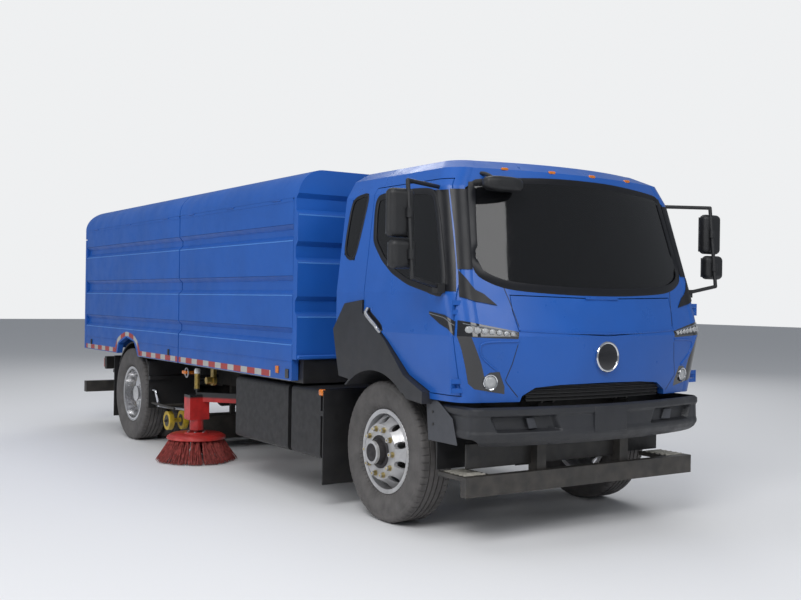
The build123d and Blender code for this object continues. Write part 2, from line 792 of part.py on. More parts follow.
def build_frame():
    """Two channel rails and their cross members, with the lugs that carry the cab and the hopper."""
    low_z = RAIL_TOP_Z - RAIL_HEIGHT
    front_y = aft(RAIL_FRONT_AFT)
    rear_y = aft(RAIL_REAR_AFT)
    frame = None
    for side in (-1, 1):
        rail = block(side * RAIL_OUT, side * (RAIL_OUT - RAIL_FLANGE), front_y, rear_y, low_z, RAIL_TOP_Z)
        rail -= block(side * (RAIL_OUT - RAIL_WEB), side * (RAIL_OUT - RAIL_FLANGE - OVERRUN),
                      front_y - OVERRUN, rear_y + OVERRUN, low_z + RAIL_WEB, RAIL_TOP_Z - RAIL_WEB)
        lug_y = aft(CAB_TILT_AFT)
        lug_half = CAB_TILT_BARREL / 2
        for out in (CAB_TILT_BARREL_OUT - lug_half - TIP_LUG / 2, CAB_TILT_BARREL_OUT + lug_half + TIP_LUG / 2):
            x = side * out
            lug = rod((x - TIP_LUG / 2, lug_y, CAB_TILT_Z), (x + TIP_LUG / 2, lug_y, CAB_TILT_Z), CAB_TILT_BARREL_R)
            web = polygon((
                (lug_y - CAB_TILT_BARREL_R, CAB_TILT_Z),
                (lug_y + CAB_TILT_BARREL_R, CAB_TILT_Z),
                (front_y + RAIL_HEIGHT, RAIL_TOP_Z - RAIL_WEB),
                (front_y, RAIL_TOP_Z - RAIL_WEB),
            ))
            lug += prism_x(web, x - TIP_LUG / 2, x + TIP_LUG / 2)
            rail += lug
        pin_start = side * (CAB_TILT_BARREL_OUT - lug_half - TIP_LUG)
        pin_end = side * (CAB_TILT_BARREL_OUT + lug_half + TIP_LUG)
        rail += rod((pin_start, lug_y, CAB_TILT_Z), (pin_end, lug_y, CAB_TILT_Z), CAB_TILT_BARREL_R / 2)
        pivot_y = aft(TIP_PIVOT_AFT)
        rail_in = RAIL_OUT - RAIL_FLANGE
        for x0, x1 in ((RAIL_OUT, RAIL_OUT + TIP_LUG), (rail_in - TIP_LUG, rail_in)):
            ear = rod((side * x0, pivot_y, TIP_PIVOT_Z), (side * x1, pivot_y, TIP_PIVOT_Z), TIP_BARREL_R)
            ear += block(side * x0, side * x1, rear_y - RAIL_HEIGHT, pivot_y,
                         TIP_PIVOT_Z - TIP_BARREL_R, TIP_PIVOT_Z + RAIL_WEB)
            rail += ear
        rail += block(side * (rail_in - TIP_LUG), side * RAIL_OUT, rear_y - RAIL_HEIGHT, rear_y - RAIL_HEIGHT / 2,
                      TIP_PIVOT_Z - TIP_BARREL_R, RAIL_TOP_Z)
        pin_in = side * (rail_in - TIP_LUG)
        pin_out = side * (RAIL_OUT + TIP_LUG)
        rail += rod((pin_in, pivot_y, TIP_PIVOT_Z), (pin_out, pivot_y, TIP_PIVOT_Z), TIP_BARREL_R / 2)
        frame = rail if frame is None else frame + rail
    for share in CROSS_MEMBER_SHARES:
        y = front_y + (rear_y - front_y - CROSS_MEMBER) * share
        frame += block(RAIL_WEB - RAIL_OUT, RAIL_OUT - RAIL_WEB, y, y + CROSS_MEMBER,
                       RAIL_TOP_Z - RAIL_WEB - CROSS_MEMBER, RAIL_TOP_Z - RAIL_WEB)
    keep("frame_rails", frame)


def body_section(wall, low):
    """Front view of the roof's outside, or of its inside at this wall, from the height low up."""
    out = BODY_OUT - wall
    top = ROOF_Z - wall
    arc_r = ROOF_ROUND - wall
    centre_z = ROOF_Z - ROOF_ROUND
    centre_out = BODY_OUT - ROOF_ROUND
    bend = arc_r * math.sqrt(0.5)
    edges = Line((-out, low), (out, low)) + Line((centre_out, top), (-centre_out, top))
    for side in (-1, 1):
        edges += ThreePointArc(
            (side * out, centre_z),
            (side * (centre_out + bend), centre_z + bend),
            (side * centre_out, top),
        )
        edges += Line((side * out, low), (side * out, centre_z))
    return make_face(edges)


def side_section():
    """Front view of a side door of the body, with its grooves, on the left."""
    height = ROOF_Z - BODY_BOTTOM_Z
    points = [(BODY_OUT - SIDE_WALL, BODY_BOTTOM_Z), (BODY_OUT - SIDE_WALL, SIDE_TOP_Z), (BODY_OUT, SIDE_TOP_Z)]
    for top_share, low_share in GROOVE_SHARES:
        top = BODY_BOTTOM_Z + height * top_share
        low = BODY_BOTTOM_Z + height * low_share
        points += [
            (BODY_OUT, top),
            (BODY_OUT - GROOVE_DEPTH, top - GROOVE_SLOPE),
            (BODY_OUT - GROOVE_DEPTH, low + GROOVE_SLOPE),
            (BODY_OUT, low),
        ]
    points.append((BODY_OUT, BODY_BOTTOM_Z))
    return polygon(points)


def side_door(front_y, rear_y):
    """One gull-wing side door on the left, and the fixed halves of its hinges."""
    panel = prism_y(side_section(), front_y, rear_y)
    fixed = []
    for share in SIDE_HINGE_SHARES:
        centre = (BODY_OUT + HINGE_R, front_y + (rear_y - front_y) * share, SIDE_TOP_Z + SWING_GAP)
        still, moving = hinge(centre, (0, 1, 0), HINGE_LENGTH, (-1, 0, 1), (-1, 0, -1), HINGE_REACH)
        panel += moving
        fixed += still
    return panel, fixed


def arch_cut():
    """The opening over the rear wheels, cut through a side panel."""
    middle = REAR_AXLE_Y + ARCH_CENTRE_SHIFT
    height = ARCH_TOP_Z - BODY_BOTTOM_Z
    points = [(middle - ARCH_HALF, BODY_BOTTOM_Z - OVERRUN)]
    for along_share, up_share in ARCH_SHARES:
        points.append((middle + ARCH_HALF * along_share, BODY_BOTTOM_Z + height * up_share))
    points.append((middle + ARCH_HALF, BODY_BOTTOM_Z - OVERRUN))
    return prism_x(polygon(points), BODY_OUT - SIDE_WALL * 2, BODY_OUT + OVERRUN)


def build_front_body():
    """The fixed front section: floor frame, ribbed front wall, roof, side doors and what stands inside."""
    front_y = aft(BODY_FRONT_AFT)
    split_y = aft(BODY_SPLIT_AFT)
    height = ROOF_Z - BODY_BOTTOM_Z
    inner_out = BODY_OUT - SIDE_WALL - SWING_GAP
    low_z = RAIL_TOP_Z + SEAT_GAP
    floor = block(-inner_out, inner_out, front_y, split_y, low_z, low_z + FLOOR_THICK)
    floor += block(-inner_out, inner_out, front_y, front_y + FRONT_WALL, low_z, WALL_BOTTOM_Z - SEAT_GAP)
    keep("body_floor", floor)

    wall_points = [(front_y + FRONT_WALL, WALL_BOTTOM_Z), (front_y, WALL_BOTTOM_Z)]
    for top_share, low_share in reversed(FRONT_GROOVE_SHARES):
        low = BODY_BOTTOM_Z + height * low_share
        top = BODY_BOTTOM_Z + height * top_share
        wall_points += [
            (front_y, low),
            (front_y + GROOVE_DEPTH, low + GROOVE_SLOPE),
            (front_y + GROOVE_DEPTH, top - GROOVE_SLOPE),
            (front_y, top),
        ]
    wall_points += [(front_y, ROOF_Z), (front_y + FRONT_WALL, ROOF_Z)]
    wall = prism_x(polygon(wall_points), -BODY_OUT, BODY_OUT)
    wall &= prism_y(body_section(0, BODY_BOTTOM_Z), front_y - OVERRUN, front_y + FRONT_WALL + OVERRUN)
    keep("body_front_wall", wall)

    roof_front = front_y + FRONT_WALL + SEAT_GAP
    roof_low = SIDE_TOP_Z + SWING_GAP * 2
    shell = prism_y(body_section(0, roof_low), roof_front, split_y)
    shell -= prism_y(body_section(ROOF_WALL, roof_low - OVERRUN), roof_front - OVERRUN, split_y + OVERRUN)
    for side in (-1, 1):
        post = block(side * (inner_out - SIDE_WALL), side * inner_out, split_y - SIDE_WALL, split_y,
                     low_z + FLOOR_THICK + SEAT_GAP, ROOF_Z - ROOF_ROUND + ROOF_WALL)
        shell += post
        shell += block(side * (inner_out - SIDE_WALL), side * (BODY_OUT - ROOF_WALL / 2), roof_front, split_y,
                       roof_low, roof_low + RAIL_WEB)
    door_front = roof_front + SWING_GAP
    door_rear = split_y - SWING_GAP
    panel, fixed = side_door(door_front, door_rear)
    for piece in fixed:
        shell += piece
        shell += mirrored(piece)
    keep("body_roof", shell)
    keep("front_side_door_left", panel)
    keep("front_side_door_right", mirrored(panel))

    base_z = low_z + FLOOR_THICK + SEAT_GAP
    tank = block(-WATER_TANK_OUT, WATER_TANK_OUT, aft(WATER_TANK_FRONT_AFT), split_y - SIDE_WALL - SWING_GAP,
                 base_z, WATER_TANK_TOP_Z)
    keep("water_tank", fillet(tank.edges().filter_by(Axis.X), BOX_ROUND))
    aux = block(-AUX_ENGINE_OUT, AUX_ENGINE_OUT, aft(AUX_ENGINE_FRONT_AFT), aft(AUX_ENGINE_REAR_AFT),
                base_z, AUX_ENGINE_TOP_Z)
    keep("auxiliary_engine", aux)


def hopper_side_profile(wall, low_z, front_y):
    """Side view of the hopper's roof, rounded down at the rear."""
    rear_y = aft(BODY_REAR_AFT) - wall
    top = ROOF_Z - wall
    arc_r = ROOF_ROUND - wall
    bend = arc_r * math.sqrt(0.5)
    centre_y = rear_y - arc_r
    centre_z = top - arc_r
    edges = (
        Line((front_y, low_z), (rear_y, low_z))
        + Line((rear_y, low_z), (rear_y, centre_z))
        + ThreePointArc((rear_y, centre_z), (centre_y + bend, centre_z + bend), (centre_y, top))
        + Line((centre_y, top), (front_y, top))
        + Line((front_y, top), (front_y, low_z))
    )
    return make_face(edges)


def build_hopper():
    """The tipping hopper: tub, roof, tail door and two side doors, on lugs at the rear of the frame."""
    front_y = aft(BODY_SPLIT_AFT) + SPLIT_GAP
    rear_y = aft(BODY_REAR_AFT)
    tail_y = rear_y - TAIL_WALL
    roof_low = SIDE_TOP_Z + SWING_GAP * 2
    wall_top = ROOF_Z - ROOF_ROUND + ROOF_WALL
    inner = HOPPER_OUT - HOPPER_WALL
    tub = block(-HOPPER_OUT, HOPPER_OUT, front_y, tail_y - SWING_GAP,
                HOPPER_FLOOR_Z, HOPPER_FLOOR_Z + HOPPER_WALL)
    tub += block(-HOPPER_OUT, HOPPER_OUT, front_y, front_y + HOPPER_WALL, HOPPER_FLOOR_Z, wall_top)
    for side in (-1, 1):
        tub += block(side * inner, side * HOPPER_OUT, front_y, tail_y - SWING_GAP, HOPPER_FLOOR_Z, wall_top)
        tub += block(side * RAIL_OUT, side * (RAIL_OUT - RAIL_FLANGE), front_y + HOPPER_WALL,
                     tail_y - SWING_GAP, HOPPER_BEAM_BOTTOM_Z, HOPPER_FLOOR_Z)
        pivot_y = aft(TIP_PIVOT_AFT)
        barrel_in = side * (RAIL_OUT - RAIL_FLANGE + SEAT_GAP)
        barrel_out = side * (RAIL_OUT - SEAT_GAP)
        barrel = rod((barrel_in, pivot_y, TIP_PIVOT_Z), (barrel_out, pivot_y, TIP_PIVOT_Z), TIP_BARREL_R)
        web_half = TIP_BARREL_R / 2
        barrel += block(barrel_in, barrel_out, pivot_y - web_half, aft(BODY_REAR_AFT) - TAIL_WALL - SWING_GAP,
                        HOPPER_BEAM_BOTTOM_Z - SEAT_GAP, HOPPER_BEAM_BOTTOM_Z + RAIL_WEB)
        barrel += block(barrel_in, barrel_out, pivot_y - web_half, pivot_y + web_half,
                        TIP_PIVOT_Z, HOPPER_BEAM_BOTTOM_Z + RAIL_WEB)
        barrel -= rod((barrel_in - side * OVERRUN, pivot_y, TIP_PIVOT_Z),
                      (barrel_out + side * OVERRUN, pivot_y, TIP_PIVOT_Z), TIP_BARREL_R / 2 + RUN_GAP)
        tub += barrel
    keep("hopper_tub", tub)

    outer = prism_y(body_section(0, roof_low), front_y, rear_y)
    outer &= prism_x(hopper_side_profile(0, roof_low - OVERRUN, front_y - OVERRUN), -FAR, FAR)
    space = prism_y(body_section(ROOF_WALL, roof_low - OVERRUN), front_y - OVERRUN, rear_y)
    space &= prism_x(hopper_side_profile(ROOF_WALL, roof_low - OVERRUN, front_y - OVERRUN), -FAR, FAR)
    roof = outer - space
    side_rear_y = tail_y - SWING_GAP
    panel, fixed = side_door(front_y, side_rear_y)
    panel -= arch_cut()
    inner_out = BODY_OUT - SIDE_WALL - SWING_GAP
    roof += block(-BODY_OUT, BODY_OUT, tail_y, rear_y, TAIL_HEADER_Z, roof_low + RAIL_WEB / 2)
    roof += block(-inner_out, inner_out, side_rear_y + SEAT_GAP, tail_y + RAIL_WEB, TAIL_HEADER_Z, wall_top)
    for side in (-1, 1):
        roof += block(side * (HOPPER_OUT + SEAT_GAP), side * (BODY_OUT - ROOF_WALL / 2), front_y, tail_y + RAIL_WEB,
                      roof_low, roof_low + RAIL_WEB)
    for piece in fixed:
        roof += piece
        roof += mirrored(piece)

    door_top = TAIL_HEADER_Z - SWING_GAP * 2
    tail = block(-BODY_OUT, BODY_OUT, tail_y, rear_y, BODY_BOTTOM_Z, door_top)
    tail_height = door_top - BODY_BOTTOM_Z
    for share in TAIL_RIB_SHARES:
        rib_z = BODY_BOTTOM_Z + TAIL_RIB_HEIGHT / 2 + (tail_height - TAIL_RIB_HEIGHT) * share
        tail += block(-HOPPER_OUT, HOPPER_OUT, rear_y, rear_y + TAIL_RIB,
                      rib_z - TAIL_RIB_HEIGHT / 2, rib_z + TAIL_RIB_HEIGHT / 2)
    for out in (-HOPPER_OUT / 2, HOPPER_OUT / 2):
        centre = (out, rear_y + HINGE_R, TAIL_HEADER_Z - SWING_GAP)
        still, moving = hinge(centre, (1, 0, 0), HINGE_LENGTH, (0, -1, 1), (0, -1, -1), HINGE_REACH)
        tail += moving
        for piece in still:
            roof += piece
    keep("hopper_roof", roof)
    keep("tail_door", tail)
    keep("rear_side_door_left", panel)
    keep("rear_side_door_right", mirrored(panel))


def cab_row(z):
    """Half width and reach of the cab at a height, between the rows of the table."""
    share = (z - CAB_BOTTOM_Z) / CAB_HEIGHT
    for low, high in zip(CAB_SECTION_SHARES, CAB_SECTION_SHARES[1:]):
        if share <= high[0]:
            break
    part = (share - low[0]) / (high[0] - low[0])
    half = low[1] + (high[1] - low[1]) * part
    nose = low[2] + (high[2] - low[2]) * part
    return half * CAB_OUT, nose * CAB_NOSE


def cab_outline(z, inset):
    """Plan of the cab at one height: bulged front, round front corners, straight sides and rear."""
    half, nose = cab_row(z)
    half -= inset
    corner = CAB_CORNER
    tip_y = aft(-nose) + inset
    edge_x = half - corner
    edge_y = tip_y + CAB_BULGE
    bend = corner * math.sqrt(0.5)
    rear_y = aft(CAB_REAR_AFT) - inset
    edges = ThreePointArc((-edge_x, edge_y), (0, tip_y), (edge_x, edge_y))
    for side in (-1, 1):
        edges += ThreePointArc(
            (side * edge_x, edge_y),
            (side * (edge_x + bend), edge_y + corner - bend),
            (side * half, edge_y + corner),
        )
        edges += Line((side * half, edge_y + corner), (side * half, rear_y))
    edges += Line((-half, rear_y), (half, rear_y))
    return Pos(0, 0, z) * make_face(edges)


def cab_solid(inset, low_z, high_z):
    """The cab's outside moved in by inset, between two heights."""
    heights = [low_z]
    for share, half, nose in CAB_SECTION_SHARES:
        z = CAB_BOTTOM_Z + CAB_HEIGHT * share
        if low_z + OVERRUN / 2 < z < high_z - OVERRUN / 2:
            heights.append(z)
    heights.append(high_z)
    return loft([cab_outline(z, inset) for z in heights], ruled=True)


def front_shape(shares):
    """A front view outline on the left half of the cab, from a table of shares."""
    return [(CAB_OUT * across, CAB_BOTTOM_Z + CAB_HEIGHT * up) for across, up in shares]


def both_halves(shares):
    """A closed front view outline over both halves, from a table that runs from the middle to the middle."""
    left = front_shape(shares)
    right = [(-x, z) for x, z in reversed(left) if x > 0]
    return polygon(left + right)


def door_shape(shares):
    """A side view outline, from shares of the door's length and height."""
    return polygon([(aft(DOOR_FRONT_AFT + DOOR_LENGTH * along), DOOR_BOTTOM_Z + DOOR_HEIGHT * up)
                    for along, up in shares])


def build_cab():
    """The cab's panels, all cut from one shell, with its glass, lid, lamps, doors and fenders."""
    top_z = CAB_BOTTOM_Z + CAB_HEIGHT
    outside = cab_solid(0, CAB_BOTTOM_Z, top_z)
    inside = cab_solid(CAB_WALL, CAB_BOTTOM_Z - OVERRUN, top_z - CAB_ROOF_WALL)
    shell = outside - inside
    front_y = aft(-CAB_NOSE)
    rear_y = aft(CAB_REAR_AFT)

    door_face = door_shape(DOOR_OUTLINE_SHARES)
    opening_face = grown(door_face, SWING_GAP)
    fender_face = polygon([(aft(ARCH_R * along), CAB_BOTTOM_Z + CAB_HEIGHT * up) for along, up in FENDER_SHARES])
    arch_face = Pos(FRONT_AXLE_Y, TYRE_R) * Circle(ARCH_R)
    fender_face = fender_face - opening_face - arch_face
    arch_prism = prism_x(arch_face, -FAR, FAR)

    def sides(face, inner, outer):
        """A side view cut through both sides, from inner to outer distance from the middle."""
        left = prism_x(face, inner, outer)
        return left + mirrored(left)

    door_band = sides(opening_face, CAB_OUT / 2, CAB_OUT * 2)
    shell_cut = door_band + arch_prism + sides(grown(fender_face, SEAT_GAP), FENDER_FACE_IN_OUT - SEAT_GAP, CAB_OUT * 2)
    shell -= shell_cut
    windscreen_face = both_halves(WINDSCREEN_SHARES)
    glass_y = front_y - OVERRUN
    shell -= prism_y(windscreen_face, glass_y, aft(-ARCH_R))
    quarter_face = door_shape(QUARTER_OUTLINE_SHARES)
    shell -= sides(quarter_face, CAB_OUT / 2, CAB_OUT * 2)

    shell -= prism_y(both_halves(CAB_FOOT_SHARES), glass_y, aft(-ARCH_R))

    lid_face = both_halves(LID_SHARES)
    lid_hole = prism_y(grown(lid_face, SWING_GAP), glass_y, aft(-ARCH_R))
    lid_slab = outside - cab_solid(LID_THICK, CAB_BOTTOM_Z - OVERRUN, top_z - CAB_ROOF_WALL)
    lid = lid_slab & prism_y(lid_face, glass_y, aft(-ARCH_R))
    shell -= lid_hole

    lamp_face = polygon(front_shape(HEADLAMP_SHARES))
    lamp_prism = prism_y(lamp_face, glass_y, aft(-ARCH_R))
    lamp_prism += mirrored(lamp_prism)
    lamp_hole = prism_y(grown(lamp_face, SEAT_GAP), glass_y, aft(-ARCH_R))
    lamp_hole += mirrored(lamp_hole)
    lamp_depth = cab_solid(HEADLAMP_THICK, CAB_BOTTOM_Z - OVERRUN, top_z - CAB_ROOF_WALL)
    lamp_slab = outside - lamp_depth
    lamps = lamp_slab & lamp_prism
    lamps -= door_band
    shell -= lamp_hole & (outside - cab_solid(HEADLAMP_THICK + SEAT_GAP, CAB_BOTTOM_Z - OVERRUN,
                                              top_z - CAB_ROOF_WALL))

    roof = shell & block(-FAR, FAR, -FAR, FAR, CAB_ROOF_SPLIT_Z, top_z)
    walls = shell & block(-FAR, FAR, -FAR, FAR, 0, CAB_ROOF_SPLIT_Z - SEAT_GAP)
    split_y = aft(DOOR_FRONT_AFT + DOOR_LENGTH / 2)
    front = walls & block(-FAR, FAR, -FAR, split_y, 0, FAR)
    rear = walls & block(-FAR, FAR, split_y, FAR, 0, FAR)
    rear = rear - block(-FAR, FAR, -FAR, FAR, 0, CAB_FLOOR_Z - CAB_FLOOR_THICK)

    door_slab = prism_x(door_face, CAB_OUT / 2, CAB_OUT * 2)
    window_face = door_shape(WINDOW_OUTLINE_SHARES)
    door = (outside - inside) & door_slab
    door -= prism_x(window_face, CAB_OUT / 2, CAB_OUT * 2)
    hinge_y = aft(DOOR_FRONT_AFT) - SWING_GAP / 2
    for share in DOOR_HINGE_SHARES:
        z = DOOR_BOTTOM_Z + DOOR_HEIGHT * share
        centre = (CAB_OUT + HINGE_R, hinge_y, z)
        still, moving = hinge(centre, (0, 0, 1), DOOR_HINGE_LENGTH, (-1, -0.15, 0), (-1, 0.4, 0), DOOR_HINGE_REACH)
        door += moving
        for piece in still:
            front += piece
            front += mirrored(piece)
    glass = cab_solid(GLASS_SET, CAB_BOTTOM_Z, top_z - CAB_ROOF_WALL)
    glass -= cab_solid(GLASS_SET + GLASS, CAB_BOTTOM_Z - OVERRUN, top_z)
    door_glass = glass & prism_x(grown(window_face, -SEAT_GAP), CAB_OUT / 2, CAB_OUT * 2)
    windscreen = glass & prism_y(grown(windscreen_face, -SEAT_GAP), glass_y, aft(-ARCH_R))
    quarter = glass & prism_x(grown(quarter_face, -SEAT_GAP), CAB_OUT / 2, CAB_OUT * 2)
    keep("cab_glass", windscreen, quarter, mirrored(quarter))
    keep("door_left", door)
    keep("door_right", mirrored(door))
    keep("door_glass_left", door_glass)
    keep("door_glass_right", mirrored(door_glass))

    floor = cab_solid(CAB_WALL + SEAT_GAP, CAB_FLOOR_Z, CAB_FLOOR_Z + CAB_FLOOR_THICK)
    floor -= arch_prism + sides(grown(fender_face, SEAT_GAP), FENDER_FACE_IN_OUT - SEAT_GAP, CAB_OUT * 2)
    barrel_half = CAB_TILT_BARREL / 2 - SEAT_GAP
    pivot_y = aft(CAB_TILT_AFT)
    for side in (-1, 1):
        x0 = side * CAB_TILT_BARREL_OUT - barrel_half
        x1 = side * CAB_TILT_BARREL_OUT + barrel_half
        barrel = rod((x0, pivot_y, CAB_TILT_Z), (x1, pivot_y, CAB_TILT_Z), CAB_TILT_BARREL_R)
        barrel += block(x0, x1, pivot_y - CAB_TILT_BARREL_R, pivot_y + CAB_TILT_BARREL_R, CAB_TILT_Z, CAB_FLOOR_Z)
        barrel -= rod((x0 - OVERRUN, pivot_y, CAB_TILT_Z), (x1 + OVERRUN, pivot_y, CAB_TILT_Z),
                      CAB_TILT_BARREL_R / 2 + RUN_GAP)
        floor += barrel
        hinge_y = aft(DOOR_FRONT_AFT) - SWING_GAP / 2
        floor -= rod((side * (CAB_OUT + HINGE_R), hinge_y, CAB_BOTTOM_Z),
                     (side * (CAB_OUT + HINGE_R), hinge_y, CAB_FLOOR_Z + CAB_FLOOR_THICK + OVERRUN), DOOR_SWEEP_R)
    keep("cab_floor", floor)

    hinge_z = CAB_BOTTOM_Z + CAB_HEIGHT * LID_SHARES[0][1] + SWING_GAP / 2
    nose_at_hinge = cab_row(hinge_z)[1]
    centre = (0, aft(-nose_at_hinge) - HINGE_R, hinge_z)
    still, moving = hinge(centre, (1, 0, 0), LID_HINGE_LENGTH, (0, 1, 1), (0, 1, -1), LID_THICK)
    lid += moving
    for piece in still:
        front += piece
    keep("front_lid", lid)
    keep("cab_front", front)
    keep("cab_rear", rear)
    keep("cab_roof", roof)
    keep("headlamps", *lamps.solids())

    fender = prism_x(fender_face, FENDER_FACE_IN_OUT, CAB_OUT + FENDER_PROUD)
    sheet_face = (Pos(FRONT_AXLE_Y, TYRE_R) * Circle(ARCH_R)) - (Pos(FRONT_AXLE_Y, TYRE_R) * Circle(ARCH_R - FENDER_SHEET))
    sheet_face &= polygon((
        (aft(-ARCH_R), CAB_BOTTOM_Z + OVERRUN),
        (aft(ARCH_R), CAB_BOTTOM_Z + OVERRUN),
        (aft(ARCH_R), CAB_FLOOR_Z + ARCH_R),
        (aft(-ARCH_R), CAB_FLOOR_Z + ARCH_R),
    ))
    sheet = prism_x(sheet_face, FENDER_IN_OUT, CAB_OUT + FENDER_PROUD)
    fender_left = fender + sheet
    keep("fenders", fender_left, mirrored(fender_left))

    badge_plane = (0, aft(-cab_row(BADGE_Z)[1]), BADGE_Z)
    badge = rod((0, badge_plane[1] - BADGE_THICK, BADGE_Z), (0, badge_plane[1] - SEAT_GAP, BADGE_Z), BADGE_R)
    NODES["cab_front"][0] += badge + rod((0, badge_plane[1] - BADGE_THICK, BADGE_Z),
                                         (0, badge_plane[1] + CAB_WALL / 2, BADGE_Z), BADGE_R / 2)


def build_mirrors():
    """Two mirrors on one upright tube, carried by the door, drawn on the left."""
    half_top = cab_row(MIRROR_TUBE_TOP_Z)[0]
    top = (MIRROR_TUBE_OUT, aft(MIRROR_TUBE_TOP_AFT), MIRROR_TUBE_TOP_Z)
    low = (MIRROR_TUBE_OUT, aft(MIRROR_TUBE_LOW_AFT), MIRROR_TUBE_LOW_Z)
    root_top = (half_top + SEAT_GAP, aft(MIRROR_ROOT_TOP_AFT), MIRROR_TUBE_TOP_Z)
    root_low = (CAB_OUT + SEAT_GAP, aft(MIRROR_ROOT_LOW_AFT), MIRROR_TUBE_LOW_Z - MIRROR_CLAMP)
    frame = rod(top, low, MIRROR_TUBE_R) + Pos(*top) * Sphere(MIRROR_TUBE_R) + Pos(*low) * Sphere(MIRROR_TUBE_R)
    frame += rod(top, root_top, MIRROR_TUBE_R) + rod(low, root_low, MIRROR_TUBE_R)
    frame += block(CAB_OUT + SEAT_GAP, CAB_OUT + MIRROR_CLAMP, root_low[1] - MIRROR_CLAMP / 2,
                   root_low[1] + MIRROR_CLAMP / 2, root_low[2] - MIRROR_CLAMP / 2, root_low[2] + MIRROR_CLAMP / 2)
    # Columns: middle height and height of each housing.
    for z, height in ((MIRROR_Z, MIRROR_HEIGHT), (WIDE_MIRROR_Z, WIDE_MIRROR_HEIGHT)):
        share = (z - low[2]) / (top[2] - low[2])
        tube_y = low[1] + (top[1] - low[1]) * share
        housing = Pos(MIRROR_OUT, tube_y + MIRROR_DEPTH / 2 + MIRROR_TUBE_R / 2, z) * Box(
            MIRROR_WIDTH, MIRROR_DEPTH, height)
        housing = fillet(housing.edges(), MIRROR_ROUND)
        frame += housing
        frame += Pos(MIRROR_TUBE_OUT, tube_y, z) * Cylinder(MIRROR_CLAMP_R, MIRROR_CLAMP)
    door_shell = NODES["door_left"][0]
    frame -= cab_solid(-SEAT_GAP, CAB_BOTTOM_Z, CAB_BOTTOM_Z + CAB_HEIGHT)
    frame -= door_shell
    keep("mirror_left", frame)
    keep("mirror_right", mirrored(frame))


def build_cab_inside():
    """Two seats, the dashboard with its column, and the steering wheel."""
    base_z = CAB_FLOOR_Z + CAB_FLOOR_THICK + SEAT_GAP
    for side in (-1, 1):
        x0 = side * SEAT_OUT - SEAT_WIDTH / 2
        x1 = side * SEAT_OUT + SEAT_WIDTH / 2
        front_y = aft(SEAT_FRONT_AFT)
        cushion_z = base_z + SEAT_BASE
        seat = block(x0, x1, front_y, front_y + SEAT_DEPTH, cushion_z, cushion_z + SEAT_CUSHION)
        seat += block(x0, x1, front_y + SEAT_DEPTH - SEAT_BACK, front_y + SEAT_DEPTH,
                      cushion_z, cushion_z + SEAT_BACK_HEIGHT)
        seat = fillet(seat.edges().filter_by(Axis.Y), SEAT_ROUND)
        margin = SEAT_WIDTH / 6
        seat += block(x0 + margin, x1 - margin, front_y + margin, front_y + SEAT_DEPTH - margin,
                      base_z, cushion_z + SEAT_ROUND)
        keep("seats", seat)

    dash_y = aft(DASH_FRONT_AFT)
    depth = DASH_REAR_AFT - DASH_FRONT_AFT
    height = DASH_TOP_Z - base_z
    dash_face = polygon([(dash_y + depth * along, base_z + height * up) for along, up in DASH_OUTLINE_SHARES])
    dash = prism_x(dash_face, -DASH_OUT, DASH_OUT)
    tilt = math.radians(STEER_TILT)
    axis = (0, math.sin(tilt), math.cos(tilt))
    wheel_at = Vector(SEAT_OUT, aft(STEER_WHEEL_AFT), STEER_WHEEL_Z)
    along = Vector(*axis)
    column_end = wheel_at - along * (WHEEL_HUB / 2 + SEAT_GAP)
    column_start = wheel_at - along * (WHEEL_RIM_R * 2)
    dash += rod(tuple(column_start), tuple(column_end), STEER_COLUMN_R)
    dash -= block(-FAR, FAR, -FAR, FAR, 0, base_z)
    keep("dashboard", dash)

    plane = Plane(origin=tuple(wheel_at), x_dir=(1, 0, 0), z_dir=axis)
    wheel = Torus(WHEEL_RIM_R, WHEEL_RIM_TUBE) + Cylinder(WHEEL_HUB_R, WHEEL_HUB)
    wheel += Box(WHEEL_RIM_R * 2, WHEEL_HUB, WHEEL_RIM_TUBE)
    wheel += Pos(0, -WHEEL_RIM_R / 2, 0) * Box(WHEEL_HUB, WHEEL_RIM_R, WHEEL_RIM_TUBE)
    keep("steering_wheel", plane * wheel)


def bumper_plan(inset):
    """Plan of the bumper's outside moved in by inset, closed straight across at its rear ends."""
    half = BUMPER_OUT - inset
    tip_y = aft(-FRONT_OVERHANG) + inset
    edge_x = half - BUMPER_CORNER
    edge_y = tip_y + BUMPER_BULGE
    bend = BUMPER_CORNER * math.sqrt(0.5)
    rear_y = aft(BUMPER_SIDE_REAR_AFT)
    edges = ThreePointArc((-edge_x, edge_y), (0, tip_y), (edge_x, edge_y))
    for side in (-1, 1):
        edges += ThreePointArc(
            (side * edge_x, edge_y),
            (side * (edge_x + bend), edge_y + BUMPER_CORNER - bend),
            (side * half, edge_y + BUMPER_CORNER),
        )
        edges += Line((side * half, edge_y + BUMPER_CORNER), (side * half, rear_y))
    edges += Line((-half, rear_y), (half, rear_y))
    return make_face(edges)


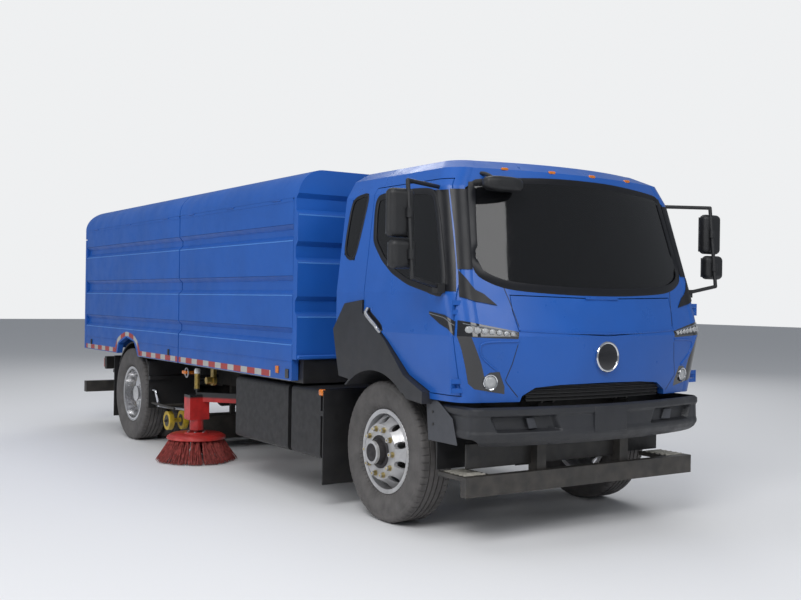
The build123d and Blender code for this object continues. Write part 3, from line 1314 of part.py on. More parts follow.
def build_bumper():
    """The bumper skin with its recesses and plate pad, and the guard bar with its steps below it."""
    skin = prism_z(bumper_plan(0) - bumper_plan(BUMPER_WALL), BUMPER_LOW_Z, BUMPER_TOP_Z)
    height = BUMPER_TOP_Z - BUMPER_LOW_Z
    behind = aft(CAB_TILT_AFT)
    recess = polygon([(BUMPER_OUT * across, BUMPER_LOW_Z + height * up) for across, up in RECESS_SHARES])
    pocket = prism_y(recess, aft(-FRONT_OVERHANG) - OVERRUN, behind)
    skin -= pocket
    skin -= mirrored(pocket)
    back_face = bumper_plan(BUMPER_WALL) - bumper_plan(BUMPER_WALL + RECESS_BACK)
    tray = prism_z(back_face, BUMPER_LOW_Z, BUMPER_LOW_Z + height * 0.9)
    tray &= block(-BUMPER_OUT, BUMPER_OUT, aft(-FRONT_OVERHANG), behind, 0, FAR)
    skin += tray
    low_z = RAIL_TOP_Z - RAIL_HEIGHT
    for side in (-1, 1):
        arm_x = side * (RAIL_OUT + SEAT_GAP)
        skin += block(arm_x, arm_x + side * BUMPER_ARM, aft(-FRONT_OVERHANG + BUMPER_WALL + RECESS_BACK),
                      aft(BUMPER_ARM_REAR_AFT), low_z + RAIL_WEB * 2, low_z + RAIL_WEB * 2 + BUMPER_ARM * 2)
    pad_x = PLATE_BOLT_SPACING_X / 2 + PLATE_PAD_EDGE
    pad_z = PLATE_BOLT_SPACING_Z / 2 + PLATE_PAD_EDGE
    pad_y = aft(-FRONT_OVERHANG)
    skin += block(-pad_x, pad_x, pad_y, pad_y + BUMPER_WALL, PLATE_BOLT_Z - pad_z, PLATE_BOLT_Z + pad_z)
    for side_x in (-1, 1):
        for side_z in (-1, 1):
            x = side_x * PLATE_BOLT_SPACING_X / 2
            z = PLATE_BOLT_Z + side_z * PLATE_BOLT_SPACING_Z / 2
            skin -= rod((x, pad_y - OVERRUN, z), (x, pad_y + BUMPER_WALL, z), PLATE_BOLT_R)
    keep("front_bumper", skin)

    face_y = aft(GUARD_FACE_AFT)
    guard = block(-GUARD_HALF, GUARD_HALF, face_y, face_y + GUARD_DEPTH, GUARD_LOW_Z, GUARD_TOP_Z)
    for side in (-1, 1):
        x0 = side * (RAIL_OUT - RAIL_FLANGE)
        x1 = side * RAIL_OUT
        guard += block(x0, x1, face_y + GUARD_DEPTH, aft(RAIL_FRONT_AFT) + GUARD_LEG_WIDTH,
                       GUARD_LOW_Z, GUARD_TOP_Z)
        guard += block(x0, x1, aft(RAIL_FRONT_AFT), aft(RAIL_FRONT_AFT) + GUARD_LEG_WIDTH,
                       GUARD_LOW_Z, low_z - SEAT_GAP)
        step_x0 = side * (GUARD_HALF - STEP_WIDTH)
        step_x1 = side * GUARD_HALF
        step = block(step_x0, step_x1, face_y + GUARD_DEPTH, face_y + GUARD_DEPTH + STEP_LENGTH,
                     GUARD_TOP_Z - STEP_THICK, GUARD_TOP_Z)
        pitch = STEP_LENGTH / (STEP_SLOTS + 1)
        for i in range(STEP_SLOTS):
            slot_y = face_y + GUARD_DEPTH + pitch * (i + 0.7)
            step -= block(step_x0 + side * STEP_SLOT, step_x1 - side * STEP_SLOT, slot_y, slot_y + STEP_SLOT,
                          GUARD_TOP_Z - STEP_THICK / 2, GUARD_TOP_Z + OVERRUN)
        guard += step
    eye_y = face_y + GUARD_DEPTH + TOW_EYE_R
    eye = Pos(0, eye_y, GUARD_LOW_Z + TOW_EYE_THICK / 2) * Cylinder(TOW_EYE_R, TOW_EYE_THICK)
    eye += block(-TOW_EYE_R, TOW_EYE_R, face_y + GUARD_DEPTH - SEAT_GAP, eye_y, GUARD_LOW_Z, GUARD_LOW_Z + TOW_EYE_THICK)
    guard += eye
    guard -= Pos(0, eye_y, GUARD_LOW_Z) * Cylinder(TOW_PIN_R, FAR / 4)
    keep("guard_bar", guard)


def build_side_pieces():
    """Flaps and guards by the wheels, and the fuel tank and battery box on both sides of the frame."""
    arm_z = (FRONT_FLAP_TOP_Z + TYRE_R) / 2
    rail_face = RAIL_OUT + SEAT_GAP
    for side in (-1, 1):
        flap_y = aft(FRONT_FLAP_AFT)
        flap = block(side * FLAP_IN_OUT, side * FLAP_OUT, flap_y, flap_y + FLAP_THICK,
                     FRONT_FLAP_LOW_Z, FRONT_FLAP_TOP_Z)
        flap += block(side * rail_face, side * FLAP_OUT, flap_y + FLAP_THICK, flap_y + FLAP_THICK * 4,
                      arm_z, arm_z + FLAP_THICK * 3)
        keep("mudguards", flap)
        guard_y = aft(FRONT_GUARD_AFT)
        guard = block(side * FLAP_IN_OUT, side * (BUMPER_OUT - BUMPER_WALL - SEAT_GAP), guard_y - FLAP_THICK,
                      guard_y, GUARD_TOP_Z + SWING_GAP, BUMPER_TOP_Z)
        guard += block(side * rail_face, side * FLAP_OUT * 0.8, guard_y - FLAP_THICK * 4, guard_y - FLAP_THICK,
                       arm_z, arm_z + FLAP_THICK * 3)
        keep("mudguards", guard)
        rear_flap_y = REAR_AXLE_Y + TYRE_R + REAR_FLAP_GAP
        rear_flap = block(side * (FLAP_IN_OUT - TYRE_SHOULDER), side * FLAP_OUT, rear_flap_y,
                          rear_flap_y + FLAP_THICK, REAR_FLAP_LOW_Z, REAR_FLAP_TOP_Z)
        rear_flap += block(side * rail_face, side * FLAP_OUT, rear_flap_y + FLAP_THICK,
                           rear_flap_y + FLAP_THICK * 4, arm_z, arm_z + FLAP_THICK * 3)
        front_plate_y = REAR_AXLE_Y - TYRE_R - REAR_FLAP_GAP
        rear_front = block(side * (FLAP_IN_OUT - TYRE_SHOULDER), side * FLAP_OUT, front_plate_y,
                           front_plate_y + FLAP_THICK, REAR_FLAP_LOW_Z * 2, REAR_FLAP_TOP_Z)
        rear_front += block(side * rail_face, side * FLAP_OUT, front_plate_y - FLAP_THICK * 3,
                            front_plate_y, arm_z, arm_z + FLAP_THICK * 3)
        keep("mudguards", rear_flap, rear_front)

        table = ((TANK_FRONT_AFT, BATTERY_REAR_AFT), (FUEL_FRONT_AFT, FUEL_REAR_AFT))
        # Columns: front and rear of each box, behind the front axle.
        for front_aft, rear_aft in table:
            box = block(side * BOX_IN_OUT, side * BOX_OUT, aft(front_aft), aft(rear_aft), BOX_LOW_Z, BOX_TOP_Z)
            box = fillet(box.edges().filter_by(Axis.Y), BOX_ROUND)
            length = rear_aft - front_aft
            for share in (0.2, 0.7):
                y = aft(front_aft) + length * share
                box += block(side * rail_face, side * (BOX_IN_OUT + BOX_ROUND), y, y + BOX_ROUND,
                             RAIL_TOP_Z - RAIL_HEIGHT, BOX_TOP_Z - BOX_ROUND)
            keep("side_boxes", box)


def build_rear_end():
    """Underrun bar on two legs, the lamp bar with its lamps, and the rear tow eye."""
    rear_y = aft(LENGTH - FRONT_OVERHANG)
    bar_front = rear_y - REAR_BAR_DEPTH
    low_z = RAIL_TOP_Z - RAIL_HEIGHT
    rail_rear = aft(RAIL_REAR_AFT)
    rear = block(-REAR_BAR_HALF, REAR_BAR_HALF, bar_front, rear_y, REAR_BAR_LOW_Z, REAR_BAR_TOP_Z)
    lamp_front = rail_rear + SEAT_GAP
    lamp_rear = lamp_front + LAMP_BAR_DEPTH
    rear += block(-LAMP_BAR_HALF, LAMP_BAR_HALF, lamp_front, lamp_rear, LAMP_BAR_LOW_Z, LAMP_BAR_TOP_Z)
    for side in (-1, 1):
        x0 = side * (RAIL_OUT - RAIL_FLANGE)
        x1 = side * RAIL_OUT
        rear += block(x0, x1, lamp_front, lamp_rear, REAR_BAR_LOW_Z, LAMP_BAR_TOP_Z)
        rear += block(x0, x1, lamp_front, bar_front + SEAT_GAP, REAR_BAR_LOW_Z, REAR_BAR_TOP_Z)
        lamp_out = side * LAMP_BAR_HALF
        lamp_in = side * (LAMP_BAR_HALF - LAMP_LENGTH)
        middle = (LAMP_BAR_LOW_Z + LAMP_BAR_TOP_Z) / 2
        keep("tail_lamps", block(lamp_in, lamp_out, lamp_rear + SEAT_GAP, lamp_rear + LAMP_THICK,
                                 middle - LAMP_HEIGHT / 2, middle + LAMP_HEIGHT / 2))
    eye_y = lamp_rear + TOW_EYE_R
    eye_z = LAMP_BAR_LOW_Z + TOW_EYE_THICK
    rear += Pos(0, eye_y, eye_z) * Cylinder(TOW_EYE_R, TOW_EYE_THICK)
    rear += block(-TOW_EYE_R, TOW_EYE_R, lamp_rear - SEAT_GAP, eye_y, eye_z - TOW_EYE_THICK / 2,
                  eye_z + TOW_EYE_THICK / 2)
    rear -= Pos(0, eye_y, eye_z) * Cylinder(TOW_PIN_R, TOW_EYE_THICK * 2)
    keep("rear_bar", rear)


def build_brush():
    """A side brush: swing arm with its red head and motor, and the cup of splayed tines."""
    centre = (BRUSH_OUT, aft(BRUSH_AFT))
    pivot = (BRUSH_PIVOT_OUT, aft(BRUSH_PIVOT_AFT))
    barrel_low = BRUSH_PIVOT_LOW_Z + SEAT_GAP
    barrel_high = BRUSH_PIVOT_TOP_Z - SEAT_GAP
    arm = Pos(*pivot, (barrel_low + barrel_high) / 2) * Cylinder(BRUSH_PIVOT_BARREL_R, barrel_high - barrel_low)
    arm += bar((*pivot, ARM_Z), (*centre, ARM_Z), ARM_THICK, ARM_HEIGHT)
    head_low = BRUSH_MOTOR_TOP_Z - ARM_HEIGHT
    head = Pos(*centre, (head_low + ARM_Z) / 2 + ARM_HEIGHT / 4) * Box(HEAD_WIDTH, HEAD_THICK, ARM_Z - head_low)
    arm += head
    arm += Pos(*centre, (BRUSH_MOTOR_LOW_Z + BRUSH_MOTOR_TOP_Z) / 2) * Cylinder(
        BRUSH_MOTOR_R, BRUSH_MOTOR_TOP_Z - BRUSH_MOTOR_LOW_Z)
    arm += rod((*centre, ARM_Z), (*centre, LIFT_CYLINDER_LOW_Z), LIFT_ROD_R)
    arm += rod((*centre, LIFT_CYLINDER_LOW_Z), (*centre, LIFT_CYLINDER_TOP_Z), LIFT_CYLINDER_R)
    eye_z = LIFT_CYLINDER_TOP_Z + LIFT_EYE_R / 2
    arm += Pos(*centre, eye_z) * (Rot(0, 90, 0) * Cylinder(LIFT_EYE_R, LIFT_EYE_R))
    arm -= Pos(*pivot, ARM_Z) * Cylinder(BRUSH_PIVOT_R + RUN_GAP, FAR / 4)
    keep("brush_arm_left", arm)
    keep("brush_arm_right", mirrored(arm))

    bracket = block(RAIL_OUT + SEAT_GAP, BRUSH_PIVOT_OUT, pivot[1] - BRUSH_PIVOT_BARREL_R,
                    pivot[1] + BRUSH_PIVOT_BARREL_R, BRUSH_PIVOT_TOP_Z, BRUSH_PIVOT_TOP_Z + ARM_THICK)
    bracket += Pos(*pivot, BRUSH_PIVOT_TOP_Z + ARM_THICK / 2) * Cylinder(BRUSH_PIVOT_BARREL_R, ARM_THICK)
    bracket += rod((*pivot, BRUSH_PIVOT_LOW_Z - ARM_THICK), (*pivot, BRUSH_PIVOT_TOP_Z), BRUSH_PIVOT_R)
    bracket += Pos(*pivot, BRUSH_PIVOT_LOW_Z - ARM_THICK / 2) * Cylinder(BRUSH_PIVOT_BARREL_R, ARM_THICK)
    bracket += block(RAIL_OUT + SEAT_GAP, RAIL_OUT + ARM_THICK, pivot[1] - BRUSH_PIVOT_BARREL_R,
                     pivot[1] + BRUSH_PIVOT_BARREL_R, RAIL_TOP_Z - RAIL_HEIGHT, BRUSH_PIVOT_TOP_Z)
    keep("brush_brackets", bracket, mirrored(bracket))

    disc = revolve(
        polygon((
            (0, BRUSH_DISC_LOW_Z),
            (BRUSH_DISC_R, BRUSH_DISC_LOW_Z),
            (BRUSH_DISC_TOP_R, BRUSH_DISC_TOP_Z),
            (0, BRUSH_DISC_TOP_Z),
        )).rotate(Axis.X, 90),
        Axis.Z,
    )
    disc += Pos(0, 0, (BRUSH_DISC_LOW_Z + BRUSH_MOTOR_LOW_Z) / 2) * Cylinder(
        BRUSH_SHAFT_R, BRUSH_MOTOR_LOW_Z - BRUSH_DISC_LOW_Z - SEAT_GAP * 2)
    tine = bar((BRUSH_ROOT_R, 0, BRUSH_DISC_TOP_Z - TINE_THICK), (BRUSH_TIP_R, 0, TINE_CLEAR - TINE_THICK),
               TINE_WIDTH, TINE_THICK)
    ring = None
    for i in range(TINES):
        turned = Rot(0, 0, 360 / TINES * i) * tine
        ring = turned if ring is None else ring + turned
    brush = disc + ring
    brush -= block(-FAR, FAR, -FAR, FAR, -FAR, TINE_CLEAR)
    brush = Pos(*centre, 0) * brush
    keep("brush_left", brush)
    keep("brush_right", mirrored(brush))


def build_nozzle():
    """The suction nozzle across the truck, its pipe up to the hopper, and its twin carrying wheels."""
    front_y = aft(NOZZLE_FRONT_AFT)
    rear_y = aft(NOZZLE_REAR_AFT)
    middle = (front_y + rear_y) / 2
    half_top = NOZZLE_TOP_DEPTH / 2
    outer = polygon((
        (front_y, NOZZLE_LOW_Z),
        (rear_y, NOZZLE_LOW_Z),
        (middle + half_top, NOZZLE_TOP_Z),
        (middle - half_top, NOZZLE_TOP_Z),
    ))
    hood = prism_x(outer, -NOZZLE_OUT, NOZZLE_OUT)
    hollow = polygon((
        (front_y + NOZZLE_WALL, NOZZLE_LOW_Z - OVERRUN),
        (rear_y - NOZZLE_WALL, NOZZLE_LOW_Z - OVERRUN),
        (middle + half_top - NOZZLE_WALL, NOZZLE_TOP_Z - NOZZLE_WALL),
        (middle - half_top + NOZZLE_WALL, NOZZLE_TOP_Z - NOZZLE_WALL),
    ))
    hood -= prism_x(hollow, NOZZLE_WALL - NOZZLE_OUT, NOZZLE_OUT - NOZZLE_WALL)
    pipe_top = HOPPER_FLOOR_Z - SWING_GAP
    pipe = rod((PIPE_OUT, middle, NOZZLE_TOP_Z - NOZZLE_WALL), (PIPE_OUT, middle, pipe_top), PIPE_R)
    bore = rod((PIPE_OUT, middle, NOZZLE_TOP_Z - NOZZLE_WALL * 2), (PIPE_OUT, middle, pipe_top + OVERRUN),
               PIPE_R - PIPE_WALL)
    low_z = RAIL_TOP_Z - RAIL_HEIGHT
    nozzle = hood + pipe - bore
    for side in (-1, 1):
        x = side * (RAIL_OUT - NOZZLE_LINK)
        nozzle += block(x - NOZZLE_LINK / 2, x + NOZZLE_LINK / 2, middle - NOZZLE_LINK / 2,
                        middle + NOZZLE_LINK / 2, NOZZLE_TOP_Z - NOZZLE_WALL, low_z - SEAT_GAP)
        wheel_y = aft(NOZZLE_WHEEL_AFT)
        between = (NOZZLE_WHEEL_IN_OUT + NOZZLE_WHEEL_OUT) / 2
        nozzle += rod((side * (NOZZLE_OUT - NOZZLE_WALL), wheel_y, NOZZLE_WHEEL_Z),
                      (side * (NOZZLE_WHEEL_OUT + NOZZLE_WHEEL_WIDTH), wheel_y, NOZZLE_WHEEL_Z), NOZZLE_AXLE_R)
        wheels = None
        for out in (NOZZLE_WHEEL_IN_OUT, NOZZLE_WHEEL_OUT):
            disc = stub(NOZZLE_WHEEL_R, out - NOZZLE_WHEEL_WIDTH / 2, out + NOZZLE_WHEEL_WIDTH / 2)
            wheels = disc if wheels is None else wheels + disc
        wheels += stub(NOZZLE_HUB_R, NOZZLE_WHEEL_IN_OUT, NOZZLE_WHEEL_OUT)
        wheels -= stub(NOZZLE_AXLE_R + RUN_GAP, between - NOZZLE_WHEEL_OUT, between + NOZZLE_WHEEL_OUT)
        wheels = Pos(0, wheel_y, NOZZLE_WHEEL_Z) * wheels
        name = "nozzle_wheels_left" if side > 0 else "nozzle_wheels_right"
        keep(name, wheels if side > 0 else mirrored(wheels))
        rod_x = side * SPRAY_ROD_OUT
        nozzle += rod((rod_x, aft(SPRAY_FRONT_AFT), SPRAY_ROD_Z), (rod_x, aft(SPRAY_REAR_AFT), SPRAY_ROD_Z), SPRAY_ROD_R)
        nozzle += rod((rod_x, wheel_y, SPRAY_ROD_Z), (side * NOZZLE_WHEEL_IN_OUT, wheel_y, SPRAY_ROD_Z), SPRAY_ROD_R)
        nozzle += rod((side * NOZZLE_WHEEL_IN_OUT, wheel_y, SPRAY_ROD_Z),
                      (side * (NOZZLE_OUT - NOZZLE_LINK), middle, NOZZLE_TOP_Z - NOZZLE_WALL), SPRAY_ROD_R)
        nozzle += Pos(side * NOZZLE_WHEEL_IN_OUT, wheel_y, SPRAY_ROD_Z) * Sphere(SPRAY_ROD_R)
    keep("suction_nozzle", nozzle)

    fill_y = aft(FILL_AFT)
    end_out = BODY_OUT - SIDE_WALL - SWING_GAP
    coupling = rod((-end_out, fill_y, FILL_Z), (-end_out + FILL_LENGTH, fill_y, FILL_Z), FILL_R)
    coupling += rod((-end_out + FILL_LENGTH, fill_y, FILL_Z), (-end_out + FILL_LENGTH + FILL_R, fill_y, FILL_Z),
                    FILL_R * 1.5)
    coupling += block(-end_out + FILL_LENGTH, -end_out + FILL_LENGTH + FILL_R, fill_y - FILL_R, fill_y + FILL_R,
                      FILL_Z, RAIL_TOP_Z)
    keep("fill_coupling", coupling)


def write_parts():
    """One file for each node."""
    for name, solids in NODES.items():
        found = []
        for shape in solids:
            found += shape.solids()
        shape = found[0] if len(found) == 1 else Compound(children=found)
        shape.label = name
        export_step(shape, f"parts/{name}.step")


build_front_wheels()
build_rear_wheels()
build_front_axle()
build_rear_axle()
build_springs()
build_driveline()
build_frame()
build_front_body()
build_hopper()
build_cab()
build_mirrors()
build_cab_inside()
build_bumper()
build_side_pieces()
build_rear_end()
build_brush()
build_nozzle()
write_parts()
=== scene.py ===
import math

import bmesh
import bpy
import numpy as np
from mathutils import Matrix, Vector


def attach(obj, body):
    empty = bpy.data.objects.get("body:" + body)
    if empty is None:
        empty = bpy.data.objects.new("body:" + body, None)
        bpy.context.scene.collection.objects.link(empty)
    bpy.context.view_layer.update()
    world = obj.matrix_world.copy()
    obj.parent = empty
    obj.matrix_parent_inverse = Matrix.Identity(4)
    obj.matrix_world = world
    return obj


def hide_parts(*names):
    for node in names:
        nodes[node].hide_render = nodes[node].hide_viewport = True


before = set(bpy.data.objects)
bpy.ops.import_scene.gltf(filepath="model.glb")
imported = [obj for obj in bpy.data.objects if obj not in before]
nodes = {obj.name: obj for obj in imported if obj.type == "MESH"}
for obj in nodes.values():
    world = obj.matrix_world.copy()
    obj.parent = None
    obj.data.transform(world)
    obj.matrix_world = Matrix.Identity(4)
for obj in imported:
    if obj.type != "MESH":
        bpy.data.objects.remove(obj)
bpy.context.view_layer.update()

# Metres. The truck faces -Y, its left side is +X and Z is up.
SIDES = (("left", 1), ("right", -1))
FRONT_AXLE_Y, REAR_AXLE_Y = -2.775, 2.225
AXLE_Z = 0.506


def aft(distance):
    """Y of a place this far behind the front axle."""
    return FRONT_AXLE_Y + distance


# ---- shapes ----

def grid(points, close_u=False, close_v=False):
    """Vertices and quads of a surface given as an array of points on a grid of two parameters."""
    count_u, count_v = points.shape[:2]
    index = np.arange(count_u * count_v).reshape(count_u, count_v)
    if close_u:
        index = np.vstack([index, index[:1]])
    if close_v:
        index = np.hstack([index, index[:, :1]])
    quads = np.stack([index[:-1, :-1], index[1:, :-1], index[1:, 1:], index[:-1, 1:]], axis=-1).reshape(-1, 4)
    return points.reshape(-1, 3), quads


def joined(surfaces):
    """Several vertex and quad pairs as one."""
    verts, quads, start = [], [], 0
    for points, faces in surfaces:
        verts.append(points)
        quads.append(faces + start)
        start += len(points)
    return np.vstack(verts), np.vstack(quads)


def piece(name, surfaces, body, material, slot=None, weld=1e-5, sharp=35, stands_for=(), bevel=0.0):
    """A Blender object from surfaces: welded, turned outwards, smooth up to the angle sharp, riding on a body."""
    verts, quads = joined(surfaces)
    mesh = bpy.data.meshes.new(name)
    mesh.from_pydata(verts.tolist(), [], quads.tolist())
    work = bmesh.new()
    work.from_mesh(mesh)
    bmesh.ops.remove_doubles(work, verts=work.verts, dist=weld)
    bmesh.ops.dissolve_degenerate(work, edges=work.edges, dist=weld)
    bmesh.ops.recalc_face_normals(work, faces=work.faces)
    work.to_mesh(mesh)
    work.free()
    mesh.shade_smooth()
    mesh.set_sharp_from_angle(angle=math.radians(sharp))
    made = bpy.data.objects.new(name, mesh)
    bpy.context.collection.objects.link(made)
    mesh.materials.append(material)
    if bevel:
        rounding = made.modifiers.new("edges", "BEVEL")
        rounding.width = bevel
        rounding.segments = 2
        rounding.limit_method = "ANGLE"
    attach(made, body)
    if stands_for:
        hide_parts(*stands_for)
    return made


def on_side(surfaces, sign):
    """Surfaces made for the left side: kept for sign 1, and with x turned over for sign -1."""
    return [(verts * np.array([sign, 1.0, 1.0]), quads) for verts, quads in surfaces]


def pair(name, surfaces, body, material, **options):
    """A piece on each side from the left one's surfaces. A body whose name ends with _ is a body on each side."""
    for side, sign in SIDES:
        piece(name + side, on_side(surfaces, sign), body + side if body.endswith("_") else body, material, **options)


def lathe(profile, centre, axis="x", turns=48, ripple=None):
    """Points (along, radius r) turned about an axis: r cos t and r sin t across it, for t round the circle.
    ripple(along, t) is taken off the radius."""
    profile = np.asarray(profile, float)
    turn = np.linspace(0, 2 * np.pi, turns, endpoint=False)
    along = profile[:, :1] + 0 * turn
    radius = profile[:, 1:] + 0 * turn
    if ripple is not None:
        radius = radius - ripple(along, turn[None, :] + 0 * along)
    first, second = radius * np.cos(turn), radius * np.sin(turn)
    order = {"x": (along, first, second), "y": (second, along, first), "z": (first, second, along)}[axis]
    return grid(np.stack(order, axis=-1) + np.asarray(centre, float), close_v=True)


def tube(path, radius, sides=12):
    """A circle of this radius carried along a path, square to it: point + radius (cos t * across + sin t * up)."""
    path = np.asarray(path, float)
    heading = np.gradient(path, axis=0)
    heading /= np.linalg.norm(heading, axis=1, keepdims=True)
    steep = abs(heading[0, 2]) >= 0.8
    guide = np.array([0.93, 0.31, 0.17]) if steep else np.array([0.31, 0.17, 0.93])
    across = np.cross(heading, guide)
    across /= np.linalg.norm(across, axis=1, keepdims=True)
    up = np.cross(across, heading)
    turn = np.linspace(0, 2 * np.pi, sides, endpoint=False)[None, :, None]
    ring = path[:, None] + radius * (np.cos(turn) * across[:, None] + np.sin(turn) * up[:, None])
    ends = [np.repeat(path[k][None, None], sides, axis=1) for k in (0, -1)]
    return grid(np.concatenate([ends[0], ring, ends[1]]), close_v=True)


def smooth_path(points, steps=8, closed=False):
    """A curve through the points: cubic pieces whose slope at each point is half the step between its neighbours."""
    points = np.asarray(points, float)
    if closed:
        padded = np.vstack([points[-1:], points, points[:2]])
    else:
        padded = np.vstack([2 * points[:1] - points[1:2], points, 2 * points[-1:] - points[-2:-1]])
    start, end = padded[1:-2, None], padded[2:-1, None]
    slope_in = (padded[2:-1] - padded[:-3])[:, None] / 2
    slope_out = (padded[3:] - padded[1:-2])[:, None] / 2
    t = np.linspace(0, 1, steps, endpoint=False)[None, :, None]
    curve = ((2 * t**3 - 3 * t**2 + 1) * start + (t**3 - 2 * t**2 + t) * slope_in
             + (3 * t**2 - 2 * t**3) * end + (t**3 - t**2) * slope_out).reshape(-1, points.shape[1])
    return curve if closed else np.vstack([curve, points[-1:]])


def rounded_corners(points, share, rounds=3):
    """A closed outline with its corners cut back by a share of each side, and by a quarter in the later rounds."""
    points = np.asarray(points, float)
    for _ in range(rounds):
        after = np.roll(points, -1, axis=0)
        points = np.stack([points * (1 - share) + after * share, points * share + after * (1 - share)],
                          axis=1).reshape(-1, points.shape[1])
        share = 0.25
    return points


def spaced(points, step, closed=False):
    """The points of a path at even steps along its length."""
    points = np.asarray(points, float)
    if closed:
        points = np.vstack([points, points[:1]])
    run = np.concatenate([[0], np.cumsum(np.linalg.norm(np.diff(points, axis=0), axis=1))])
    count = max(int(run[-1] / step), 3)
    at = np.linspace(0, run[-1], count, endpoint=not closed)
    return np.stack([np.interp(at, run, points[:, k]) for k in range(points.shape[1])], axis=1)


def drawn(t, shares, points):
    """Points at the shares t of a line that passes the given points at the given shares."""
    return np.stack([np.interp(t, shares, column) for column in zip(*points)], axis=1)


def at_heights(z, points):
    """Points at the heights z of a line through rising (distance, z) points."""
    across, up = zip(*points)
    return np.stack([np.interp(z, up, across), z], axis=1)


def square(u, v):
    """Two grids of parameters, the first along u and the second along v."""
    return np.meshgrid(u, v, indexing="ij")


def shell(top, low):
    """A closed plate between two grids of points: both grids, and the walls between their edges."""
    rims = [np.concatenate([face[0], face[1:, -1], face[-1, -2::-1], face[-2:0:-1, 0]]) for face in (top, low)]
    return [grid(top), grid(low[::-1]), grid(np.stack(rims), close_v=True)]


def slab(top, thickness, way):
    """A closed plate: a grid of points and the same grid moved back by thickness along way."""
    return shell(top, top - thickness * np.asarray(way, float))


def brick(x0, x1, y0, y1, z0, z1):
    """A plain block as one slab between two heights."""
    x, y = square([x0, x1], [y0, y1])
    return slab(np.stack([x, y, np.full_like(x, z1)], axis=-1), z1 - z0, (0, 0, 1))


def pillow(centre, size, power, count=24):
    """A box with round edges: each of the ball's cosines and sines is raised to power before it is scaled."""
    down = np.linspace(-np.pi / 2, np.pi / 2, count)[:, None]
    about = np.linspace(-np.pi, np.pi, count * 2, endpoint=False)[None, :]

    def bent(value):
        return np.sign(value) * np.abs(value) ** power

    shape = np.stack([bent(np.cos(down)) * bent(np.cos(about)), bent(np.cos(down)) * bent(np.sin(about)),
                      bent(np.sin(down)) + 0 * about], axis=-1)
    return grid(shape * np.asarray(size) / 2 + np.asarray(centre), close_v=True)


# ---- the cab's outer face, as the solids have it ----

CAB_LOW_Z, CAB_HEIGHT, CAB_HALF_WIDTH, CAB_REACH = 0.94, 1.62, 1.15, 1.16
CAB_Z = CAB_LOW_Z + CAB_HEIGHT * np.array([0.0, 0.265, 0.438, 0.877, 0.957, 1.0])
CAB_HALF = CAB_HALF_WIDTH * np.array([0.955, 1.0, 1.0, 0.93, 0.865, 0.76])
CAB_NOSE = CAB_REACH * np.array([0.955, 1.0, 0.93, 0.765, 0.735, 0.62])
CAB_CORNER, CAB_BULGE = 0.15, 0.125


def bulged_plan(s, z, lift, edge_x, corner, bulge, nose_y):
    """A point of a bulged face, lift in front of it. s from 0 to 1 runs from the middle along the front, on the
    circle through the nose and the corner's start; from 1 to 2 round the corner's quarter circle; past 2 it counts
    metres back along the flat side. A negative s is the right side."""
    s, z = np.broadcast_arrays(np.asarray(s, float), np.asarray(z, float))
    side, s = np.sign(s), np.abs(s)
    radius = (edge_x**2 + bulge**2) / (2 * bulge)
    front_x = np.clip(s, 0, 1) * edge_x
    front_y = radius - np.sqrt(radius**2 - front_x**2)
    turn = np.clip(s - 1, 0, 1) * np.pi / 2
    x = np.where(s <= 1, front_x * (1 + lift / radius), edge_x + (corner + lift) * np.sin(turn))
    y = np.where(s <= 1, front_y - lift, bulge + corner - (corner + lift) * np.cos(turn) + np.clip(s - 2, 0, None))
    return np.stack([side * x, nose_y + y, z], axis=-1)


def cab_face(s, z, lift=0.0):
    """A point of the cab's outer face: the bulged plan with the width and the nose of its height."""
    edge_x = np.interp(z, CAB_Z, CAB_HALF) - CAB_CORNER
    return bulged_plan(s, z, lift, edge_x, CAB_CORNER, CAB_BULGE, FRONT_AXLE_Y - np.interp(z, CAB_Z, CAB_NOSE))


def along_front(x, z):
    """The s of a point of the cab's front, given its distance from the middle."""
    x, z = np.broadcast_arrays(np.asarray(x, float), np.asarray(z, float))
    edge_x = np.interp(z, CAB_Z, CAB_HALF) - CAB_CORNER
    corner = 1 + np.arcsin(np.clip((np.abs(x) - edge_x) / CAB_CORNER, 0, 1)) * 2 / np.pi
    return np.sign(x) * np.where(np.abs(x) <= edge_x, np.abs(x) / edge_x, corner)


def along_side(y, z):
    """The s of a point of the cab's side, given its distance behind the front axle."""
    y, z = np.broadcast_arrays(np.asarray(y, float), np.asarray(z, float))
    edge_y = CAB_BULGE - np.interp(z, CAB_Z, CAB_NOSE)
    corner = 1 + np.arccos(np.clip(1 - (y - edge_y) / CAB_CORNER, -1, 1)) * 2 / np.pi
    return np.where(y > edge_y + CAB_CORNER, 2 + y - edge_y - CAB_CORNER, corner)


def with_s(along, line):
    """An (s, z) line on the cab's front or side from a line of (distance, z), by along_front or along_side."""
    return np.stack([along(line[:, 0], line[:, 1]), line[:, 1]], axis=1)


